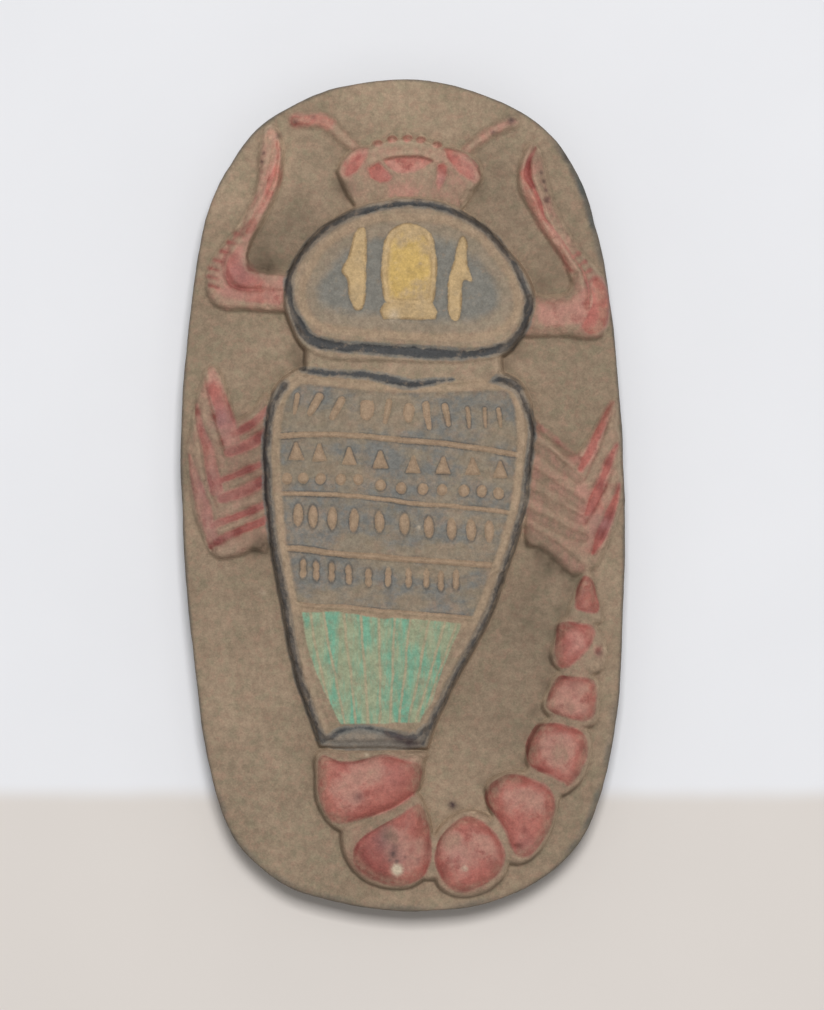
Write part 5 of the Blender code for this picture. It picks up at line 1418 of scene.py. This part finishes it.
class PaintedStone(Finish):
    """Dusty brown stone with worn red, dark, green and yellow paint, laid on layer by layer."""

    def __init__(self):
        super().__init__("worn painted stone")
        self.broad = self.noise(BROAD_SIZE, 3.0)
        self.cloud = self.noise(CLOUD_SIZE, 4.0)
        self.patch = self.noise(PATCH_SIZE, 4.0, 0.62)
        self.fleck = self.noise(FLECK_SIZE, 3.0, 0.65)
        self.grain = self.noise(GRAIN_SIZE, 2.0, 0.7)
        self.frayed = 0.45 * (self.patch - 0.5) + 0.35 * (self.fleck - 0.5)

    def lay(self, share, colour):
        """Lays a colour over what is there."""
        self.colour = self.mix(share, self.colour, colour)

    def covered(self, name, soft=0.15, shift=0.0):
        """Where a painted area lies, with a frayed edge."""
        return (self.painted(name) + self.frayed + shift).eased(-soft, soft)

    def wear(self, low, high, strength):
        """1 where paint has stayed, less where it is rubbed through."""
        kept = (0.6 * self.patch + 0.4 * self.cloud).eased(low, high)
        return 1 - strength * (1 - kept)

    def bare_stone(self):
        self.colour = self.mix(self.broad.eased(0.36, 0.66), STONE_MID, STONE_LIGHT)
        self.lay(self.cloud.eased(0.45, 0.65) * 0.25, STONE_DARK)
        self.lay(self.noise(3.4, 5.0, 0.7).eased(0.45, 0.64) * 0.36, STONE_GREEN)
        self.lay(self.noise(2.6, 5.0, 0.72).eased(0.48, 0.66) * 0.45, STONE_ROSE)
        self.dust = self.colour

    def abdomen_paint(self):
        """Smeared grey and blue between pale marks, inside a pale ledge."""
        depth = self.painted("field")
        ledge = (depth + 3.4 + self.frayed).eased(0.0, 0.8) * (1 - (depth + 0.3).eased(0.0, 0.6))
        self.lay(ledge * self.wear(0.36, 0.60, 0.5) * 0.6, BORDER)
        marks, inside = self.covered("mark", 0.2, 0.05), self.covered("field", 0.6)
        self.field = inside * (1 - marks)
        smear = self.noise(9.0, 4.0, 0.58, (0.6, 1.0, 1.0))
        blue = (0.7 * smear + 0.3 * self.broad).eased(0.43, 0.55)
        self.lay(self.field * self.wear(0.40, 0.58, 0.55) * 0.9, self.mix(blue, FIELD, FIELD_BLUE))
        # A dark ring round the foot of each raised mark: darker paint and painted shade
        outline = (self.painted("mark") + 0.6).eased(0.0, 0.4) * self.field * smear.eased(0.42, 0.60)
        self.lay(outline * 0.6, FIELD_LINE_AND_SHADE)
        self.lay(marks * inside * 0.75, MARK)

    def thorax_paint(self):
        """Grey that turns blue towards the middle, inside a pale ring."""
        depth = self.painted("thorax")
        ring = (depth + 1.5).eased(0.0, 0.6) * (1 - (depth - 0.2).eased(0.0, 1.2))
        self.lay(ring * self.wear(0.36, 0.60, 0.5) * 0.7, BORDER)
        self.lay((depth + 3.0 * (self.cloud - 0.5)).eased(0.2, 2.2) * 0.6, THORAX_GREY)
        clouded = depth + 4.0 * (self.cloud - 0.5) + 2.5 * (self.patch - 0.5)
        self.lay(clouded.eased(2.6, 6.4) * 0.85, THORAX_BLUE)

    def fan_paint(self):
        """Streaked, fading green between pale ribs."""
        area, ribs = self.covered("green", 0.3), self.covered("mark", 0.3)
        faded = self.noise(6.0, 4.0, 0.6, (1.6, 0.3, 1.0)) * 0.7 + self.broad * 0.3
        green = self.mix(faded.eased(0.42, 0.56) * 0.85, GREEN, GREEN_FADED)
        self.lay(area * (1 - 0.7 * ribs) * self.wear(0.33, 0.52, 0.45), green)
        self.lay(area * ribs * self.wear(0.33, 0.52, 0.5) * 0.75, RIB)

    def sign_paint(self):
        """Yellow with a thin dark edge, brightest inside the line of the oval sign."""
        self.yellow = self.covered("yellow", 0.18) * self.wear(0.34, 0.52, 0.2)
        line, depth = self.painted("line"), self.painted("yellow")
        bright = line.eased(-0.8, 1.2) * (0.6 * self.cloud + 0.4 * self.patch).eased(0.38, 0.56)
        self.lay(self.yellow, self.mix(bright, YELLOW_FADED, YELLOW))
        inset = line + 0.6 * (self.patch - 0.5)
        ring = inset.eased(-0.45, -0.1) * (1 - inset.eased(0.1, 0.45))
        self.lay(ring * self.patch.eased(0.36, 0.56) * 0.35, SIGN_LINE)
        rim = (depth + 0.1).eased(-0.3, 0.0) * (1 - depth.eased(0.2, 0.7))
        self.lay(rim * self.patch.eased(0.40, 0.60) * 0.6, SIGN_LINE)

    def red_paint(self):
        """Rubbed red, brown where it is thin, deep red in a few clots, and deep red and painted shade in
        the grooves.
        """
        redness = self.painted("redness")
        streak = self.noise(2.4, 5.0, 0.7, (1.0, 0.55, 1.0))
        rubbed = 0.9 * (streak - 0.5) + 0.9 * (self.cloud - 0.5) + 0.1 * (self.fleck - 0.5)
        red = 0.65 * (redness + rubbed).eased(0.0, 0.8) + 0.35 * redness.eased(0.0, 0.9)
        self.red = red * (redness * 6).at_most(1.0)
        colour = self.mix((redness + 1.4 * (streak - 0.5)).eased(0.2, 0.5), RED_BROWN, PINK)
        colour = self.mix((redness + 1.4 * (self.cloud - 0.5)).eased(0.55, 0.85), colour, RED)
        purple = self.painted("purple") * (0.4 + 0.9 * (self.cloud + self.patch - 0.5))
        self.lay(self.red, self.mix(purple, colour, PURPLE))
        # Deep red: darker paint, and painted shade in grooves, under upper edges and round the dome rims
        deep = self.painted("deep_red_and_shade") * (0.2 + 1.6 * self.patch) * redness.eased(0.1, 0.4)
        clots = redness.eased(0.3, 0.7) * self.noise(4.5, 5.0, 0.7).eased(0.52, 0.68) * 0.55
        self.lay(deep.at_least(clots).clamped() * 0.85, RED_DEEP_AND_SHADE)

    def foot_and_walls(self):
        """The grey band at the abdomen's foot, and dust with painted light on the walls that face the
        light.
        """
        self.lay(self.covered("band", 0.3) * 0.9, FOOT_GREY)
        # Walls that face the light are lightened: painted light, with some dust
        walls = self.painted("wall") * (0.6 + 0.8 * self.patch)
        walls = walls * (1 - 0.85 * self.red) * (1 - 0.8 * self.field)
        self.lay(walls.clamped() * 0.8, WALL_DUST_AND_LIGHT)

    def dark_outlines(self):
        """Ragged black lines on a worn slate ground."""
        depth = self.painted("black")
        slate = (depth + 0.35 + 2.0 * self.frayed).eased(-0.3, 0.5) * self.wear(0.36, 0.54, 0.5)
        self.lay(slate * 0.85, SLATE)
        ragged = 2.4 * (self.noise(5.0, 5.0, 0.7) - 0.5) + 1.2 * (self.patch - 0.5)
        ragged = ragged + 0.4 * (self.fleck - 0.5)
        self.core = (depth - 0.05 + ragged).eased(0.0, 0.7)
        self.lay(self.core * 0.92 * (depth + 0.4).eased(0.0, 0.4), BLACK)

    def dirt_wear_and_shade(self):
        """Dust over the paint, bare crests, dirt and painted shade in the hollows, and painted shade at the
        foot of walls.
        """
        dusted = self.noise(2.4, 5.0, 0.75).eased(0.52, 0.70)
        self.lay(dusted * (0.4 - 0.25 * self.red.at_least(self.yellow)), self.dust)
        hollow = self.painted("hollow")
        crest = (0 - hollow).eased(0.15, 0.9) * (0.35 + 0.65 * self.patch.eased(0.4, 0.6))
        self.lay(crest * (1 - 0.6 * self.core) * 0.45, STONE_WORN)
        # Darker in the hollows and the listed spots from dirt and painted shade, and painted shade at the
        # foot of walls that face away from the light
        grime_and_shade = hollow.eased(0.15, 1.4) * 0.10 + self.painted("grime_and_shade") * (0.2 + 1.1 * self.fleck)
        self.lay((grime_and_shade + self.painted("foot") * 0.5).clamped() * 0.85, GRIME_AND_SHADE)

    def rim_and_spots(self):
        """The dark rim of the face, and the dark and pale spots on it."""
        edge, cloud, patch = self.painted("edge"), self.cloud - 0.5, self.patch - 0.5
        rim = (1 - (edge + 1.0 * cloud + 0.6 * patch).eased(0.1, 1.2)) * 0.55
        wide = (1 - (edge + 1.6 * cloud + 1.0 * patch).eased(0.8, 2.6)) * self.painted("rim")
        self.lay(rim.at_least(wide), RIM_DARK)
        self.lay((self.painted("dark") * 1.1).clamped(), RED_DARK)
        self.lay((self.painted("pale") * 1.2).clamped(), PALE)

    def shade_and_skin(self):
        """Speckles the colour, and gives the surface its sheen and fine roughness."""
        mottle = self.noise(2.2, 5.0, 0.72).eased(0.36, 0.64)
        shade = (0.84 + 0.32 * self.grain) * (0.80 + 0.40 * self.fleck) * (0.89 + 0.22 * mottle)
        shade = shade * (1 + self.painted("tone"))
        painted = self.red.at_least(self.core)
        height = 0.6 * self.grain + 0.9 * self.fleck + 0.6 * self.patch + 0.35 * painted
        bump = {"Height": height, "Strength": 0.45, "Distance": 0.0003}
        self.feed(self.shader.inputs["Base Color"], self.tinted(self.colour, shade))
        self.feed(self.shader.inputs["Roughness"], 0.93 - 0.3 * painted)
        self.feed(self.shader.inputs["Normal"], self.node("ShaderNodeBump", {}, bump, "Normal"))
        self.shader.inputs["Specular IOR Level"].default_value = 0.3

    def finished(self):
        for layer in (
            self.bare_stone, self.abdomen_paint, self.thorax_paint, self.fan_paint,
            self.sign_paint, self.red_paint, self.foot_and_walls, self.dark_outlines,
            self.dirt_wear_and_shade, self.rim_and_spots, self.shade_and_skin,
        ):
            layer()
        return self.material


def floor_finish():
    """Plain pale sheet, a little warmer towards the near side."""
    f = Finish("pale sheet")
    along = f.node("ShaderNodeSeparateXYZ", {}, {0: f.place}, "Y")
    cloud = f.noise(SHEET_CLOUD_SIZE, 3.0)
    far = (along + 0.004 * (cloud - 0.5)).eased(*SHEET_TURN)
    colour = f.mix(far, SHEET_NEAR, SHEET_FAR)
    colour = f.tinted(colour, 0.97 + 0.06 * cloud)
    f.feed(f.shader.inputs["Base Color"], colour)
    f.shader.inputs["Roughness"].default_value = 0.9
    return f.material


def make_plaque():
    x, y = face_grid()
    carved = blurred(face_heights(x, y), FACE_BLUR)
    mesh = thinned(plaque_mesh(carved, x, y))
    add_paint_values(mesh, carved, x, y)
    mesh.materials.append(PaintedStone().finished())
    mesh.shade_smooth()
    piece = bpy.data.objects.new("carved_plaque", mesh)
    bpy.context.scene.collection.objects.link(piece)
    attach(piece, "root")
    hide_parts("scorpion_amulet")


def make_floor():
    mesh = bpy.data.meshes.new("floor")
    corners = [(SHEET_REACH * x, SHEET_REACH * y, 0) for x, y in ((-1, -1), (1, -1), (1, 1), (-1, 1))]
    mesh.from_pydata(corners, [], [(0, 1, 2, 3)])
    mesh.materials.append(floor_finish())
    floor = bpy.data.objects.new("floor", mesh)
    floor.location.z = -SHEET_GAP
    bpy.context.scene.collection.objects.link(floor)


# The camera looks straight down; the size of a picture point on the carved face sets its lens
CAMERA_HEIGHT = 2.0
PICTURE_POINTS_ALONG = 1010
FACE_POINT = 0.2637 * MM
CAMERA_PLACE = (2.4 * MM, -2.6 * MM)
SENSOR = 0.024
CAMERA_REACH = 20.0

# Each light: its place, its size in metres and its power in watts
KEY_LIGHT = ((0.04, 0.27, 2.0), 0.3, 27.5)
FILL_LIGHT = ((0.0, -0.1, 2.1), 1.6, 6.0)
WORLD_STRENGTH = 0.24


def make_camera():
    camera = bpy.data.objects.new("camera", bpy.data.cameras.new("camera"))
    bpy.context.scene.collection.objects.link(camera)
    camera.location = (*CAMERA_PLACE, CAMERA_HEIGHT)
    distance = CAMERA_HEIGHT - SLAB_THICKNESS * MM
    camera.data.sensor_fit = "VERTICAL"
    camera.data.sensor_height = SENSOR / MM
    camera.data.lens = SENSOR / MM * distance / (PICTURE_POINTS_ALONG * FACE_POINT)
    camera.data.clip_end = CAMERA_REACH
    bpy.context.scene.camera = camera


def add_light(name, place, size, power):
    """A square light that shines at the middle of the floor."""
    light = bpy.data.lights.new(name, "AREA")
    light.size = size
    light.energy = power
    holder = bpy.data.objects.new(name, light)
    bpy.context.scene.collection.objects.link(holder)
    holder.location = place
    direction = Vector((0.0, 0.0, 0.0)) - Vector(place)
    holder.rotation_euler = direction.to_track_quat("-Z", "Y").to_euler()


def make_lights():
    add_light("key light", *KEY_LIGHT)
    add_light("fill light", *FILL_LIGHT)
    world = bpy.data.worlds.new("studio")
    world.use_nodes = True
    background = world.node_tree.nodes["Background"]
    background.inputs["Color"].default_value = (1.0, 1.0, 1.0, 1.0)
    background.inputs["Strength"].default_value = WORLD_STRENGTH
    bpy.context.scene.world = world
    bpy.context.scene.view_settings.view_transform = "Standard"


make_plaque()
make_floor()
make_camera()
make_lights()
